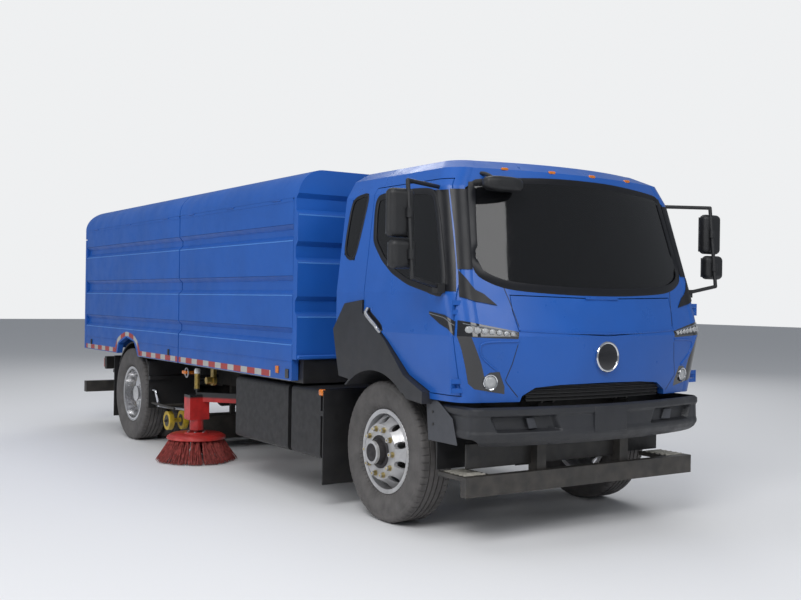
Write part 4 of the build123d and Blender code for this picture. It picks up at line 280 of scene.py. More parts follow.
def face_band(outline, inner, outer, lift, closed=True, thick=0.006):
    """A band along an outline of (s, z) on the cab: from inner to outer metres beside it, its middle lifted."""
    here = cab_face(outline[:, 0], outline[:, 1])
    if closed:
        ahead, behind = np.roll(here, -1, axis=0), np.roll(here, 1, axis=0)
    else:
        ahead, behind = np.vstack([here[1:], here[-1:]]), np.vstack([here[:1], here[:-1]])
    run = ahead - behind
    run /= np.linalg.norm(run, axis=1, keepdims=True)
    above = cab_face(outline[:, 0], outline[:, 1], 0.01) - here
    above /= np.linalg.norm(above, axis=1, keepdims=True)
    beside = np.cross(above, run)
    places = np.array([inner, inner, inner * 0.8 + outer * 0.2, inner * 0.2 + outer * 0.8, outer, outer])
    heights = np.array([-thick, lift * 0.5, lift, lift, lift * 0.5, -thick])
    points = here[:, None] + beside[:, None] * places[None, :, None] + above[:, None] * heights[None, :, None]
    if closed:
        return [grid(points, close_u=True, close_v=True)]
    ends = [grid(points[k:k + 1 or None, [[0, 5], [1, 4]]][0]) for k in (0, -1)]
    return [grid(points, close_v=True)] + ends


def face_patch(left, right, lift, count=14):
    """A plate on the cab's face between two lines of (s, z) with as many points each, drawn straight across in s."""
    t = np.linspace(0, 1, count)[None, :, None]
    where = left[:, None] * (1 - t) + right[:, None] * t
    return shell(*(cab_face(where[..., 0], where[..., 1], height) for height in (lift, lift - 0.004)))


def face_dome(s, z, lift, profile, turns, squash=1.0):
    """A profile of (along, radius) turned about the line that leaves the cab at (s, z), its height times squash."""
    centre = cab_face(s, z, lift)
    ahead = cab_face(s, z, 0.03) - centre
    ahead /= np.linalg.norm(ahead)
    across = np.cross(ahead, (0, 0, 1.0))
    across /= np.linalg.norm(across)
    up = np.cross(across, ahead)
    turn = np.linspace(0, 2 * np.pi, turns, endpoint=False)[None, :, None]
    profile = np.asarray(profile, float)
    points = (centre + profile[:, None, :1] * ahead
              + profile[:, None, 1:] * (np.cos(turn) * across + np.sin(turn) * up * squash))
    return grid(points, close_v=True)


def front_line(points, smooth=True):
    """An (s, z) line on the cab's front from (x, z) points."""
    return with_s(along_front, spaced(smooth_path(points) if smooth else points, 0.02))


def side_loop(points, step, cut):
    """A closed (s, z) line on the cab's left side from (distance behind the axle, z) points, its corners cut."""
    return with_s(along_side, spaced(rounded_corners(points, cut), step, True))


# ---- finishes ----

EARTH = (0.16, 0.14, 0.115)
ROAD_DUST = (0.20, 0.18, 0.155)
FRAME_BLACK = (0.012, 0.0125, 0.014)
BRUSH_RED = (0.46, 0.020, 0.018)


def add_node(tree, kind, inputs, operation=None, data_type=None):
    """A shader node, each of its inputs set to a value or linked to a socket."""
    made = tree.nodes.new(kind)
    if operation:
        made.operation = operation
    if data_type:
        made.data_type = data_type
    for key, value in inputs.items():
        if isinstance(value, bpy.types.NodeSocket):
            tree.links.new(value, made.inputs[key])
        else:
            made.inputs[key].default_value = value
    return made


def fresh_material(name):
    """A new material: itself, its node tree, its shader and its Object coordinates."""
    material = bpy.data.materials.new(name)
    material.use_nodes = True
    tree = material.node_tree
    place = tree.nodes.new("ShaderNodeTexCoord").outputs["Object"]
    return material, tree, tree.nodes["Principled BSDF"], place


def finish(name, colour, rough, metal=0.0, coat=0.0, shade=0.2, size=6.0, bump=0.0, grain=180.0, soil=0.0,
           soil_colour=EARTH, soil_z=(0.35, 1.15), rough_spread=0.08, see=0.0, shine=0.5, patch_low=0.35):
    """A finish from noise on Object coordinates: cloudy colour and gloss, a fine bump, and soil that thins upwards."""
    material, tree, shader, place = fresh_material(name)
    settings = {"Metallic": metal, "Coat Weight": coat, "Coat Roughness": 0.04, "Specular IOR Level": shine}
    if see:
        settings.update({"Transmission Weight": see, "IOR": 1.45})
    for key, value in settings.items():
        shader.inputs[key].default_value = value

    def cloud(scale, detail):
        noise = add_node(tree, "ShaderNodeTexNoise", {"Scale": scale, "Detail": detail, "Vector": place})
        return noise.outputs["Fac"]

    def mapped(value, low, high, to_low, to_high):
        return add_node(tree, "ShaderNodeMapRange", {"Value": value, "From Min": low, "From Max": high,
                                                     "To Min": to_low, "To Max": to_high}).outputs["Result"]

    def mixed(amount, first, second):
        return add_node(tree, "ShaderNodeMix", {0: amount, 6: first, 7: second}, data_type="RGBA").outputs[2]

    dark = tuple(channel * (1 - shade) for channel in colour)
    light = tuple(min(channel * (1 + shade * 0.7), 1.0) for channel in colour)
    base = mixed(mapped(cloud(size, 5.0), 0.35, 0.65, 0, 1), (*dark, 1), (*light, 1))
    gloss = mapped(cloud(size * 3.1, 4.0), 0.3, 0.7, max(rough - rough_spread, 0.02), min(rough + rough_spread, 1))
    if soil:
        height = add_node(tree, "ShaderNodeSeparateXYZ", {"Vector": place}).outputs["Z"]
        amount = add_node(tree, "ShaderNodeMath", {0: mapped(height, *soil_z, soil, 0),
                                                   1: mapped(cloud(11.0, 8.0), 0.3, 0.7, patch_low, 1.0)},
                          operation="MULTIPLY")
        base = mixed(amount.outputs["Value"], base, (*soil_colour, 1))
    tree.links.new(base, shader.inputs["Base Color"])
    tree.links.new(gloss, shader.inputs["Roughness"])
    if bump:
        relief = add_node(tree, "ShaderNodeBump", {"Strength": bump, "Distance": 0.002, "Height": cloud(grain, 3.0)})
        tree.links.new(relief.outputs["Normal"], shader.inputs["Normal"])
    return material


cab_paint = finish("cab_paint", (0.013, 0.095, 0.40), 0.34, coat=0.12, shade=0.06, size=2.2, bump=0.03,
                   grain=90, shine=0.35)
body_paint = finish("body_paint", (0.013, 0.098, 0.41), 0.40, coat=0.06, shade=0.08, size=1.8,
                    bump=0.04, grain=70, soil=0.12, soil_z=(0.9, 1.2), shine=0.3)
# A lighter blue for thin strips that paint the highlight on the side doors' grooves and on the front wall's ribs.
painted_highlight_blue = finish("painted_highlight_blue", (0.075, 0.235, 0.62), 0.35, shade=0.08, size=4, bump=0.03, shine=0.4)
# A dark blue for thin strips that paint the shade along the top edges of the side doors' grooves.
groove_shadow = finish("groove_shadow", (0.006, 0.040, 0.19), 0.5, shade=0.1, size=4, bump=0.03,
                       shine=0.2)
frame_paint = finish("frame_paint", FRAME_BLACK, 0.5, shade=0.3, bump=0.25, soil=0.35)
box_paint = finish("box_paint", (0.008, 0.0085, 0.0105), 0.5, bump=0.15, soil=0.08)
black_plastic = finish("black_plastic", (0.011, 0.0115, 0.013), 0.48, bump=0.3, grain=420, soil=0.2)
black_gloss = finish("black_gloss", (0.008, 0.008, 0.010), 0.10, coat=0.8, shade=0.1, size=3,
                     rough_spread=0.03)
pillar_black = finish("pillar_black", (0.009, 0.0095, 0.012), 0.34, shade=0.1, size=3,
                      rough_spread=0.04, shine=0.3)
bumper_grey = finish("bumper_grey", (0.018, 0.020, 0.025), 0.45, shade=0.15, size=4, bump=0.35,
                     grain=500, soil=0.12)
plate_grey = finish("plate_grey", (0.050, 0.053, 0.062), 0.5, shade=0.12, bump=0.2, grain=300)
fender_plastic = finish("fender_plastic", (0.015, 0.017, 0.022), 0.52, shade=0.16, size=3, bump=0.4,
                        grain=450, soil=0.12, soil_z=(0.9, 1.5))
glass_dark = finish("glass_dark", (0.020, 0.021, 0.024), 0.04, shade=0.05, rough_spread=0.02, see=0.75)
mirror_face = finish("mirror_face", (0.72, 0.74, 0.76), 0.03, metal=1.0, shade=0.02,
                     rough_spread=0.01)
tyre_rubber = finish("tyre_rubber", (0.060, 0.057, 0.056), 0.75, shade=0.25, size=9, bump=0.35,
                     grain=260, soil=0.75, soil_colour=(0.150, 0.140, 0.136), soil_z=(0.0, 1.6))
wheel_silver = finish("wheel_silver", (0.56, 0.56, 0.57), 0.42, metal=0.55, shade=0.14, size=14,
                      bump=0.1, soil=0.35, soil_colour=ROAD_DUST, soil_z=(0.1, 1.0))
wheel_polished = finish("wheel_polished", (0.66, 0.66, 0.67), 0.20, metal=0.92, shade=0.06,
                        size=12, bump=0.02, soil=0.12, soil_colour=ROAD_DUST, soil_z=(0.1, 0.9))
hub_dark = finish("hub_dark", (0.035, 0.032, 0.034), 0.42, metal=0.5, shade=0.3, size=20, bump=0.4)
nut_brass = finish("nut_brass", (0.46, 0.37, 0.17), 0.36, metal=0.9, shade=0.3, size=40, bump=0.1)
brass_metal = finish("brass_metal", (0.42, 0.30, 0.09), 0.34, metal=0.85, shade=0.3, size=30,
                     bump=0.1)
chrome = finish("chrome", (0.72, 0.73, 0.75), 0.10, metal=1.0, shade=0.05, size=10, rough_spread=0.03)
steel = finish("steel", (0.42, 0.43, 0.45), 0.34, metal=0.9, size=20, bump=0.15)
edge_pale = finish("edge_pale", (0.34, 0.36, 0.39), 0.5, metal=0.4, shade=0.15, size=12, bump=0.1)
step_light = finish("step_light", (0.42, 0.40, 0.35), 0.5, metal=0.3, shade=0.25, size=25, bump=0.5)
lens_clear = finish("lens_clear", (0.86, 0.88, 0.90), 0.06, coat=0.5, shade=0.04, size=20, see=0.6)
lens_amber = finish("lens_amber", (0.86, 0.24, 0.02), 0.14, coat=0.6, shade=0.1, size=30, see=0.25)
lens_red = finish("lens_red", (0.42, 0.012, 0.008), 0.16, coat=0.6, shade=0.15, size=30, see=0.15)
red_paint = finish("red_paint", BRUSH_RED, 0.42, coat=0.2, size=14, bump=0.2, soil=0.2,
                   soil_z=(0.0, 0.8))
arm_two_tone = finish("arm_two_tone", BRUSH_RED, 0.42, coat=0.2, size=14, bump=0.2, soil=1.0,
                      soil_colour=FRAME_BLACK, soil_z=(0.625, 0.605), patch_low=1.0)
red_bristle = finish("red_bristle", (0.33, 0.060, 0.052), 0.75, shade=0.5, size=38, bump=0.2, soil=0.45,
                     soil_colour=(0.13, 0.065, 0.06), soil_z=(0.0, 0.25), shine=0.2)
yellow_plastic = finish("yellow_plastic", (0.62, 0.42, 0.015), 0.45, size=20, bump=0.2, soil=0.3)
seat_cloth = finish("seat_cloth", (0.035, 0.04, 0.05), 0.9, size=60, bump=0.6, grain=700)
trim_grey = finish("trim_grey", (0.05, 0.052, 0.058), 0.6, shade=0.12, size=8, bump=0.4, grain=420)
engine_iron = finish("engine_iron", (0.07, 0.072, 0.075), 0.6, metal=0.3, shade=0.3, size=9, bump=0.5)
tank_white = finish("tank_white", (0.52, 0.54, 0.54), 0.5, shade=0.08, size=3, bump=0.2, grain=200)
white_cap = finish("white_cap", (0.75, 0.75, 0.74), 0.4, shade=0.06, size=20)
hopper_steel = finish("hopper_steel", (0.16, 0.165, 0.17), 0.5, metal=0.5, shade=0.25, size=4, bump=0.3,
                      soil=0.4)
blue_hose = finish("blue_hose", (0.03, 0.16, 0.55), 0.4, shade=0.1, size=20)

TAPE_STEP, TAPE_RED, TAPE_START = 0.28, 0.15, 4.55


def striped_tape():
    """Red and white reflecting tape: the colour changes along Y by where Y is in its step, over a fine honeycomb of
    small cells."""
    material, tree, shader, place = fresh_material("striped_tape")
    y = add_node(tree, "ShaderNodeSeparateXYZ", {"Vector": place}).outputs["Y"]
    shift = add_node(tree, "ShaderNodeMath", {0: y, 1: 20 * TAPE_STEP - aft(TAPE_START)}, operation="ADD")
    step = add_node(tree, "ShaderNodeMath", {0: shift.outputs["Value"], 1: TAPE_STEP}, operation="MODULO")
    red = add_node(tree, "ShaderNodeMath", {0: step.outputs["Value"], 1: TAPE_RED}, operation="LESS_THAN")
    mix = add_node(tree, "ShaderNodeMix", {0: red.outputs["Value"], 6: (0.40, 0.40, 0.39, 1),
                                           7: (0.34, 0.022, 0.020, 1)}, data_type="RGBA")
    cells = add_node(tree, "ShaderNodeTexVoronoi", {"Scale": 160, "Vector": place})
    gloss = add_node(tree, "ShaderNodeMapRange", {"Value": cells.outputs["Distance"], "From Max": 0.6,
                                                  "To Min": 0.22, "To Max": 0.42})
    shader.inputs["Coat Weight"].default_value = 0.4
    tree.links.new(gloss.outputs["Result"], shader.inputs["Roughness"])
    tree.links.new(mix.outputs[2], shader.inputs["Base Color"])
    return material


tape = striped_tape()

# The finish of every CAD node. A name that ends with _ is a node on each side.
NODE_FINISHES = (
    (frame_paint, "frame_rails front_axle leaf_springs rear_axle driveline guard_bar rear_bar suction_nozzle"
                  " body_floor brush_brackets cab_floor knuckle_"),
    (engine_iron, "engine_block auxiliary_engine"), (bumper_grey, "front_bumper"),
    (box_paint, "mudguards side_boxes"), (lens_red, "tail_lamps"), (tank_white, "water_tank"),
    (body_paint, "body_front_wall body_roof hopper_roof tail_door front_side_door_ rear_side_door_"),
    (brass_metal, "fill_coupling"), (cab_paint, "cab_front cab_rear cab_roof front_lid door_"),
    (glass_dark, "cab_glass door_glass_"), (black_gloss, "headlamps"), (seat_cloth, "seats"),
    (trim_grey, "dashboard"), (fender_plastic, "fenders"), (black_plastic, "steering_wheel mirror_"),
    (hopper_steel, "hopper_tub"), (tyre_rubber, "front_tyre_ rear_tyres_"), (wheel_silver, "front_wheel_"),
    (wheel_polished, "rear_wheels_"), (arm_two_tone, "brush_arm_"), (red_paint, "brush_"),
    (yellow_plastic, "nozzle_wheels_"),
)
for material, names in NODE_FINISHES:
    for name in names.split():
        for node in [name + side for side, _ in SIDES] if name.endswith("_") else [name]:
            for node_slot in nodes[node].material_slots:
                node_slot.material = material

# ---- wheels and tyres ----

BEAD_X, BEAD_RADIUS = 0.096, 0.2865
TYRE_PROFILE = np.array([
    (BEAD_X, BEAD_RADIUS), (0.096, 0.3045), (0.106, 0.312), (0.119, 0.326), (0.1295, 0.350), (0.1355, 0.380),
    (0.1375, 0.410), (0.1365, 0.438), (0.1335, 0.458), (0.1325, 0.461), (0.1335, 0.464), (0.1300, 0.482),
    (0.1255, 0.492), (0.1180, 0.5000), (0.1080, 0.5045), (0.1000, 0.5055), (0.0900, 0.5058), (0.0780, 0.5060),
    (0.0690, 0.5060), (0.0672, 0.5060), (0.0640, 0.5060), (0.0590, 0.5060), (0.0572, 0.5060), (0.0450, 0.5060),
    (0.0300, 0.5060), (0.0252, 0.5060), (0.0234, 0.5060), (0.0160, 0.5060), (0.0142, 0.5060), (0.0060, 0.5060),
])
SIDEWALL = TYRE_PROFILE[1:12]
TREAD_GROOVES, GROOVE_DEPTH = ((0.0150, 0.0245), (0.0580, 0.0682)), 0.011
LUGS, LUG_SHARE, LUG_INNER, LUG_OUTER, LUG_DEPTH, LUG_FADE = 62, 0.17, 0.0700, 0.1345, 0.0075, 0.012


def tread(along, turn):
    """Depth cut from a tyre: four grooves round it, and slots across the outer ribs and over the shoulders, where the
    turn times the count of lugs, less its whole part, is small."""
    across = np.abs(along)
    ring = np.zeros_like(across, dtype=bool)
    for low, high in TREAD_GROOVES:
        ring |= (across > low) & (across < high)
    lug = (turn / (2 * np.pi) * LUGS + np.sign(along) * 0.25) % 1.0
    slot = (lug < LUG_SHARE) & (across > LUG_INNER) & (across < LUG_OUTER)
    fade = np.clip((LUG_OUTER - across) / LUG_FADE, 0, 1)
    return np.where(ring, GROOVE_DEPTH, np.where(slot, LUG_DEPTH * fade, 0.0))


def tyre(middle_x, y):
    """A tyre: its half profile, mirrored, turned about the axle and cut by the tread, and closed by the bead."""
    profile = np.vstack([TYRE_PROFILE, TYRE_PROFILE[::-1] * np.array([-1.0, 1.0])])
    bead = [(BEAD_X, BEAD_RADIUS), (-BEAD_X, BEAD_RADIUS)]
    centre = (middle_x, y, AXLE_Z)
    return [lathe(profile, centre, turns=372, ripple=tread), lathe(bead, centre, turns=372)]


def sidewall_rings(middle_x, y):
    """Three low mouldings on the outer sidewall, each a small half round in profile."""
    made = []
    t = np.linspace(0, np.pi, 7)
    for radius, proud in ((0.335, 0.0024), (0.398, 0.0020), (0.474, 0.0022)):
        wall = np.interp(radius, SIDEWALL[:, 1], SIDEWALL[:, 0])
        ring = np.stack([wall - 0.0012 + proud * np.sin(t), radius + 0.0045 * np.cos(t)], axis=1)
        made.append(lathe(ring, (middle_x, y, AXLE_Z), turns=120))
    return made


NUT = [(0, 0.0), (0, 0.0215), (0.005, 0.0215), (0.006, 0.0175), (0.024, 0.0172), (0.026, 0.0125), (0.030, 0.0120),
       (0.036, 0.0075), (0.036, 0.0)]
NUT_CIRCLE, NUT_COUNT = 0.1675, 10
HUB_CAP = [(0.0, 0.118), (0.006, 0.118), (0.010, 0.112), (0.012, 0.094), (0.046, 0.088), (0.058, 0.082),
           (0.060, 0.070), (0.0745, 0.064), (0.0765, 0.058), (0.0765, 0.030), (0.0785, 0.027), (0.0785, 0.0)]
RIM_LIP = [(0.1050, 0.3040), (0.1075, 0.3020), (0.1080, 0.2975), (0.1040, 0.2870), (0.0900, 0.2800)]
# Each axle: name, Y, where its tyres are from the outside in, where its nuts are, body, CAD tyre, finish of its rims.
AXLES = (("front", FRONT_AXLE_Y, [0.942], 1.092, "front_road_wheel_", "front_tyre_", wheel_silver),
         ("rear", REAR_AXLE_Y, [1.087, 0.777], 0.946, "rear_road_wheels_", "rear_tyres_", wheel_polished))
for name, y, tyres_x, nuts_x, body, cad_tyre, rim in AXLES:
    for side, sign in SIDES:
        made = [part for x in tyres_x for part in tyre(sign * x, y)] + on_side(sidewall_rings(tyres_x[0], y), sign)
        piece(f"{name}_tyre_tread_{side}", made, body + side, tyre_rubber, sharp=30, stands_for=(cad_tyre + side,))
    turns = 2 * np.pi * (np.arange(NUT_COUNT) + 0.5) / NUT_COUNT
    nuts = [lathe(NUT, (nuts_x, y - NUT_CIRCLE * math.sin(turn), AXLE_Z + NUT_CIRCLE * math.cos(turn)), turns=12)
            for turn in turns]
    pair(f"{name}_nuts_", nuts, body, nut_brass)
    pair(f"{name}_rim_lip_", [lathe(RIM_LIP, (tyres_x[0], y, AXLE_Z), turns=120)], body, rim)
    if name == "front":
        pair("front_hub_cap_", [lathe(HUB_CAP, (nuts_x, y, AXLE_Z), turns=64)], body, hub_dark)

# ---- side brushes ----

BRUSH_X, BRUSH_Y = 1.15, aft(3.25)
DISC_LOW, DISC_TOP = 0.222, 0.265
CAP_TOP = DISC_TOP + 0.012
ROOT_RADIUS, TIP_RADIUS, TIP_Z, BRISTLE_RADIUS = 0.225, 0.400, 0.008, 0.0052
random = np.random.default_rng(7)


def bristles(centre_x):
    """Bundles of thin bristles round the brush: each runs from its root ring out and down to the ground ring on a
    line bent by the square of its share of length, tapered, with a small scatter of root and tip."""
    bundles, strands, steps, sides = 30, 26, 6, 4
    step = np.linspace(0, 1, steps)[None, None, :]
    angle = (np.arange(bundles) / bundles * 2 * np.pi)[:, None, None]
    spread = random.uniform(-1, 1, (bundles, strands, 1))
    depth = random.uniform(-1, 1, (bundles, strands, 1))
    twist = random.normal(0, 0.045, (bundles, strands, 1)) + random.normal(0, 0.05, (bundles, 1, 1))
    reach = random.uniform(0.84, 1.0, (bundles, strands, 1)) - random.uniform(0, 0.07, (bundles, 1, 1))
    turn = angle + spread * 0.042 + (spread * 0.075 + twist + 0.04) * step
    run = TIP_RADIUS * reach - ROOT_RADIUS - depth * 0.014
    radius = ROOT_RADIUS + depth * 0.030 + run * (0.72 * step + 0.28 * step**2)
    drop = (DISC_LOW - TIP_Z) * (0.82 * step + 0.18 * step**2) * (0.965 + 0.035 * reach)
    height = DISC_LOW + 0.004 - drop
    path = np.stack([centre_x + radius * np.cos(turn), BRUSH_Y + radius * np.sin(turn), height + 0 * turn], axis=-1)
    around = (np.arange(sides) / sides * 2 * np.pi)[:, None]
    thick = BRISTLE_RADIUS * (1 - 0.45 * step[..., None])
    out = np.stack([np.cos(turn), np.sin(turn), 0 * turn], axis=-1)
    across = np.stack([-np.sin(turn), np.cos(turn), 0 * turn], axis=-1)
    rise = out * 0.5 + np.array([0, 0, 0.87])
    ring = path[..., None, :] + thick[..., None] * (np.cos(around) * across[..., None, :]
                                                    + np.sin(around) * rise[..., None, :])
    verts = ring.reshape(-1, 3)
    verts[:, 2] = np.maximum(verts[:, 2], TIP_Z)
    count = steps * sides
    base = grid(np.zeros((steps, sides, 3)), close_v=True)[1]
    first = np.arange(bundles * strands)[:, None, None] * count
    tip = np.arange(count - sides, count)[None]
    quads = np.concatenate([(base[None] + first).reshape(-1, 4), (tip + first[:, 0]).reshape(-1, 4)])
    return verts, quads


DISC = [(DISC_LOW, 0.0), (DISC_LOW, 0.262), (DISC_LOW - 0.006, 0.266), (DISC_LOW - 0.006, 0.282), (DISC_LOW, 0.287),
        (DISC_LOW + 0.018, 0.283), (DISC_TOP - 0.010, 0.262), (DISC_TOP, 0.242), (DISC_TOP, 0.120),
        (CAP_TOP, 0.105), (CAP_TOP, 0.0)]
SHAFT = [(DISC_TOP, 0.0), (DISC_TOP, 0.028), (0.299, 0.028), (0.299, 0.0)]
DISC_BOLT = [(CAP_TOP, 0.0), (CAP_TOP, 0.011), (DISC_TOP + 0.02, 0.011), (DISC_TOP + 0.02, 0)]
BOLT_CIRCLE = 0.085
for side, sign in SIDES:
    body, x = f"broom_{side}", sign * BRUSH_X
    plate = [lathe(DISC, (x, BRUSH_Y, 0), "z", 96), lathe(SHAFT, (x, BRUSH_Y, 0), "z", 24)]
    piece(f"brush_plate_{side}", plate, body, red_paint, stands_for=(f"brush_{side}",))
    bolts = [lathe(DISC_BOLT, (x + BOLT_CIRCLE * math.cos(turn), BRUSH_Y + BOLT_CIRCLE * math.sin(turn), 0), "z", 6)
             for turn in np.arange(6) * math.pi / 3]
    piece(f"brush_bolts_{side}", bolts, body, steel)
    piece(f"brush_bristles_{side}", [bristles(x)], body, red_bristle, weld=1e-7, sharp=80)

# ---- cab: glass borders, pillars, seams, lamps ----

SCREEN = np.array([(0.0, 1.648), (0.36, 1.655), (0.736, 1.682), (0.92, 1.745), (0.968, 1.815), (0.972, 1.90),
                   (0.909, 2.345), (0.875, 2.38), (0.805, 2.402), (0.36, 2.432), (0.0, 2.4385)])
screen_loop = np.vstack([SCREEN, SCREEN[-2:0:-1] * np.array([-1.0, 1.0])])
screen_line = with_s(along_front, spaced(smooth_path(screen_loop, 6, True), 0.03, True))
piece("windscreen_border", face_band(screen_line, -0.012, 0.046, 0.004), "cab", pillar_black)

# The dark panel between the windscreen and the door, its foot, and the front edge of the door's window frame.
pillar_z = np.linspace(1.80, 2.335, 16)
screen_edge = with_s(along_front, at_heights(pillar_z, [(0.985, 1.80), (0.925, 2.345)]))
door_edge = at_heights(pillar_z, [(1.44, 1.80), (1.46, 2.05), (1.53, 2.34)])
pair("pillar_panel_", face_patch(screen_edge, door_edge, 0.005), "cab", pillar_black, sharp=50)
foot_run = np.linspace(0, 1, 9)
foot_top = drawn(foot_run, [0, 0.25, 0.55, 1], [(1.425, 1.795), (1.20, 1.735), (0.95, 1.655), (0.86, 1.574)])
foot_low = drawn(foot_run, [0, 0.25, 0.55, 1], [(1.445, 1.622), (1.20, 1.606), (0.98, 1.590), (0.855, 1.568)])
pair("pillar_foot_", face_patch(foot_top, foot_low, 0.006), "cab", pillar_black, sharp=50)
frame_z = np.linspace(1.655, 2.330, 16)
frame_front = [(-0.915, 1.62), (-0.885, 1.748), (-0.861, 1.846), (-0.799, 2.057), (-0.712, 2.34)]
frame_rear = [(-0.800, 1.62), (-0.803, 1.745), (-0.612, 2.334)]
frame_edges = (with_s(along_side, at_heights(frame_z, points)) for points in (frame_front, frame_rear))
pair("door_front_frame_", face_patch(*frame_edges, 0.003), "cab_door_", pillar_black, sharp=50)

# Seams and the low ridge on the nose, and the lid's lower edge.
seams = []
for points in ([(0.801, 1.735), (0.761, 1.598), (0.722, 1.430)],
               [(0.735, 1.318), (0.763, 1.19), (0.801, 1.08), (0.745, 1.02), (0.698, 0.972)]):
    seams += face_band(front_line(points, False), -0.0028, 0.0028, 0.0006, closed=False, thick=0.003)
pair("nose_seams_", seams, "cab", black_plastic)
ridge = front_line([(0.735, 1.338), (0.90, 1.335), (0.985, 1.322), (1.0, 1.29), (0.985, 1.25), (0.955, 1.215),
                    (0.87, 1.150)])
pair("nose_ridge_", face_band(ridge, -0.007, 0.007, 0.006, closed=False, thick=0.003), "cab", cab_paint, sharp=60)
lid_seam = front_line([(-0.72, 1.400), (-0.40, 1.386), (0, 1.380), (0.40, 1.386), (0.72, 1.400)])
piece("lid_lower_edge", face_band(lid_seam, 0.0, 0.012, 0.004, closed=False, thick=0.003), "cab", cab_paint,
      sharp=60)

# Lamps: a row of clear round lenses under a chrome line, the wedge that carries it on over the door, the fog lamp.
LENS = np.array([(0.000, 0.0190), (0.004, 0.0175), (0.0075, 0.0120), (0.009, 0.006), (0.0095, 0.0)])
FOG_X, FOG_Z = 0.905, 1.073
FOG_RING = [(-0.004, 0.052), (0.006, 0.052), (0.010, 0.049), (0.008, 0.044), (0.0, 0.041), (-0.004, 0.041)]
FOG_LENS = [(0.0, 0.0415), (0.006, 0.038), (0.012, 0.026), (0.0145, 0.012), (0.015, 0.0)]
lenses = []
for k in range(7):
    z = 1.412 - 0.0046 * k
    s = along_front(1.073 - 0.053 * k + 0.0006 * k**2, z)
    lenses.append(face_dome(s, z, 0.004, LENS * np.array([1.0, 1.42 - 0.08 * k]), 16, 0.85))
lamp_line = with_s(along_front, np.array([(1.10, 1.452), (1.03, 1.436), (0.90, 1.415), (0.745, 1.392)]))
wedge_run = np.linspace(0, 1, 10)
wedge_top = drawn(wedge_run, [0, 1], [(1.66, 1.463), (2.165, 1.523)])
wedge_low = drawn(wedge_run, [0, 0.6, 1], [(1.76, 1.372), (2.05, 1.434), (2.168, 1.504)])
wedge_line = drawn(wedge_run, [0, 1], [(1.70, 1.438), (2.16, 1.511)])
fog_s = along_front(FOG_X, FOG_Z)
pair("lamp_lenses_", lenses, "cab", lens_clear, sharp=60)
pair("lamp_line_", face_band(lamp_line, -0.004, 0.004, 0.006, closed=False), "cab", chrome)
pair("wedge_lamp_", face_patch(wedge_top, wedge_low, 0.006, 8), "cab_door_", black_gloss, sharp=50)
pair("wedge_line_", face_band(wedge_line, -0.0035, 0.0035, 0.011, closed=False), "cab_door_", chrome)
pair("fog_ring_", [face_dome(fog_s, FOG_Z, 0.002, FOG_RING, 40)], "cab", chrome)
pair("fog_lens_", [face_dome(fog_s, FOG_Z, 0.002, FOG_LENS, 40)], "cab", lens_clear, sharp=60)

BADGE_Z = 1.228
BADGE_RIM = [(0.0155, 0.1055), (-0.016, 0.1055), (-0.020, 0.1020), (-0.021, 0.0960), (-0.018, 0.0905),
             (-0.016, 0.0890)]
BADGE_DISC = [(-0.0165, 0.0895), (-0.0185, 0.070), (-0.0195, 0.035), (-0.020, 0.0)]
badge_place = (0, aft(-float(np.interp(BADGE_Z, CAB_Z, CAB_NOSE))), BADGE_Z)
piece("badge_ring", [lathe(BADGE_RIM, badge_place, "y", 72)], "cab", chrome)
piece("badge_face", [lathe(BADGE_DISC, badge_place, "y", 72)], "cab", black_gloss, sharp=60)

# Door window borders, door handles and quarter window borders.
WINDOW = [(-0.803, 1.641), (-0.406, 1.723), (-0.200, 1.802), (-0.056, 1.894), (0.078, 2.022), (0.109, 2.334),
          (-0.612, 2.334), (-0.803, 1.745)]
QUARTER = [(0.341, 1.880), (0.500, 1.929), (0.459, 2.341), (0.243, 2.374), (0.243, 2.306)]
HANDLE = [(0.095, 1.530), (0.080, 1.490), (0.010, 1.445), (-0.060, 1.400), (-0.075, 1.368)]
pair("window_border_", face_band(side_loop(WINDOW, 0.02, 0.10), -0.030, 0.012, 0.004), "cab_door_", pillar_black)
pair("quarter_border_", face_band(side_loop(QUARTER, 0.015, 0.16), -0.014, 0.008, 0.004), "cab", pillar_black)
handle_line = with_s(along_side, smooth_path(HANDLE, 6))
lift = np.interp(np.linspace(0, 1, len(handle_line)), [0, 0.18, 0.5, 0.82, 1], [0.004, 0.026, 0.030, 0.026, 0.004])
for side, sign in SIDES:
    grip = cab_face(sign * handle_line[:, 0], handle_line[:, 1], lift)
    piece(f"door_handle_{side}", [tube(grip, 0.014, 14)], f"cab_door_{side}", steel, slot="chrome_trim")
pair("handle_bed_", face_band(handle_line, -0.030, 0.030, 0.002, closed=False, thick=0.003), "cab_door_",
     pillar_black)

# Oval look-down mirror on the right of the windscreen and four marker lamps over it.
piece("kerb_mirror", [pillow((-0.735, aft(-0.905), 2.372), (0.315, 0.115, 0.100), 0.62)], "cab", black_plastic,
      slot="mirror_black", sharp=60)
arm = smooth_path([(-0.800, aft(-0.752), 2.452), (-0.790, aft(-0.800), 2.442), (-0.775, aft(-0.870), 2.405)], 6)
piece("kerb_mirror_arm", [tube(arm, 0.014)], "cab", black_plastic, slot="mirror_black")
MARKER_Z, MARKER_SIZE = 2.492, (0.060, 0.020, 0.020)
markers = [pillow(cab_face(along_front(x, MARKER_Z), MARKER_Z), MARKER_SIZE, 0.5, 12)
           for x in (-0.62, -0.246, 0.126, 0.518)]
piece("roof_markers", markers, "cab", lens_amber, sharp=60)

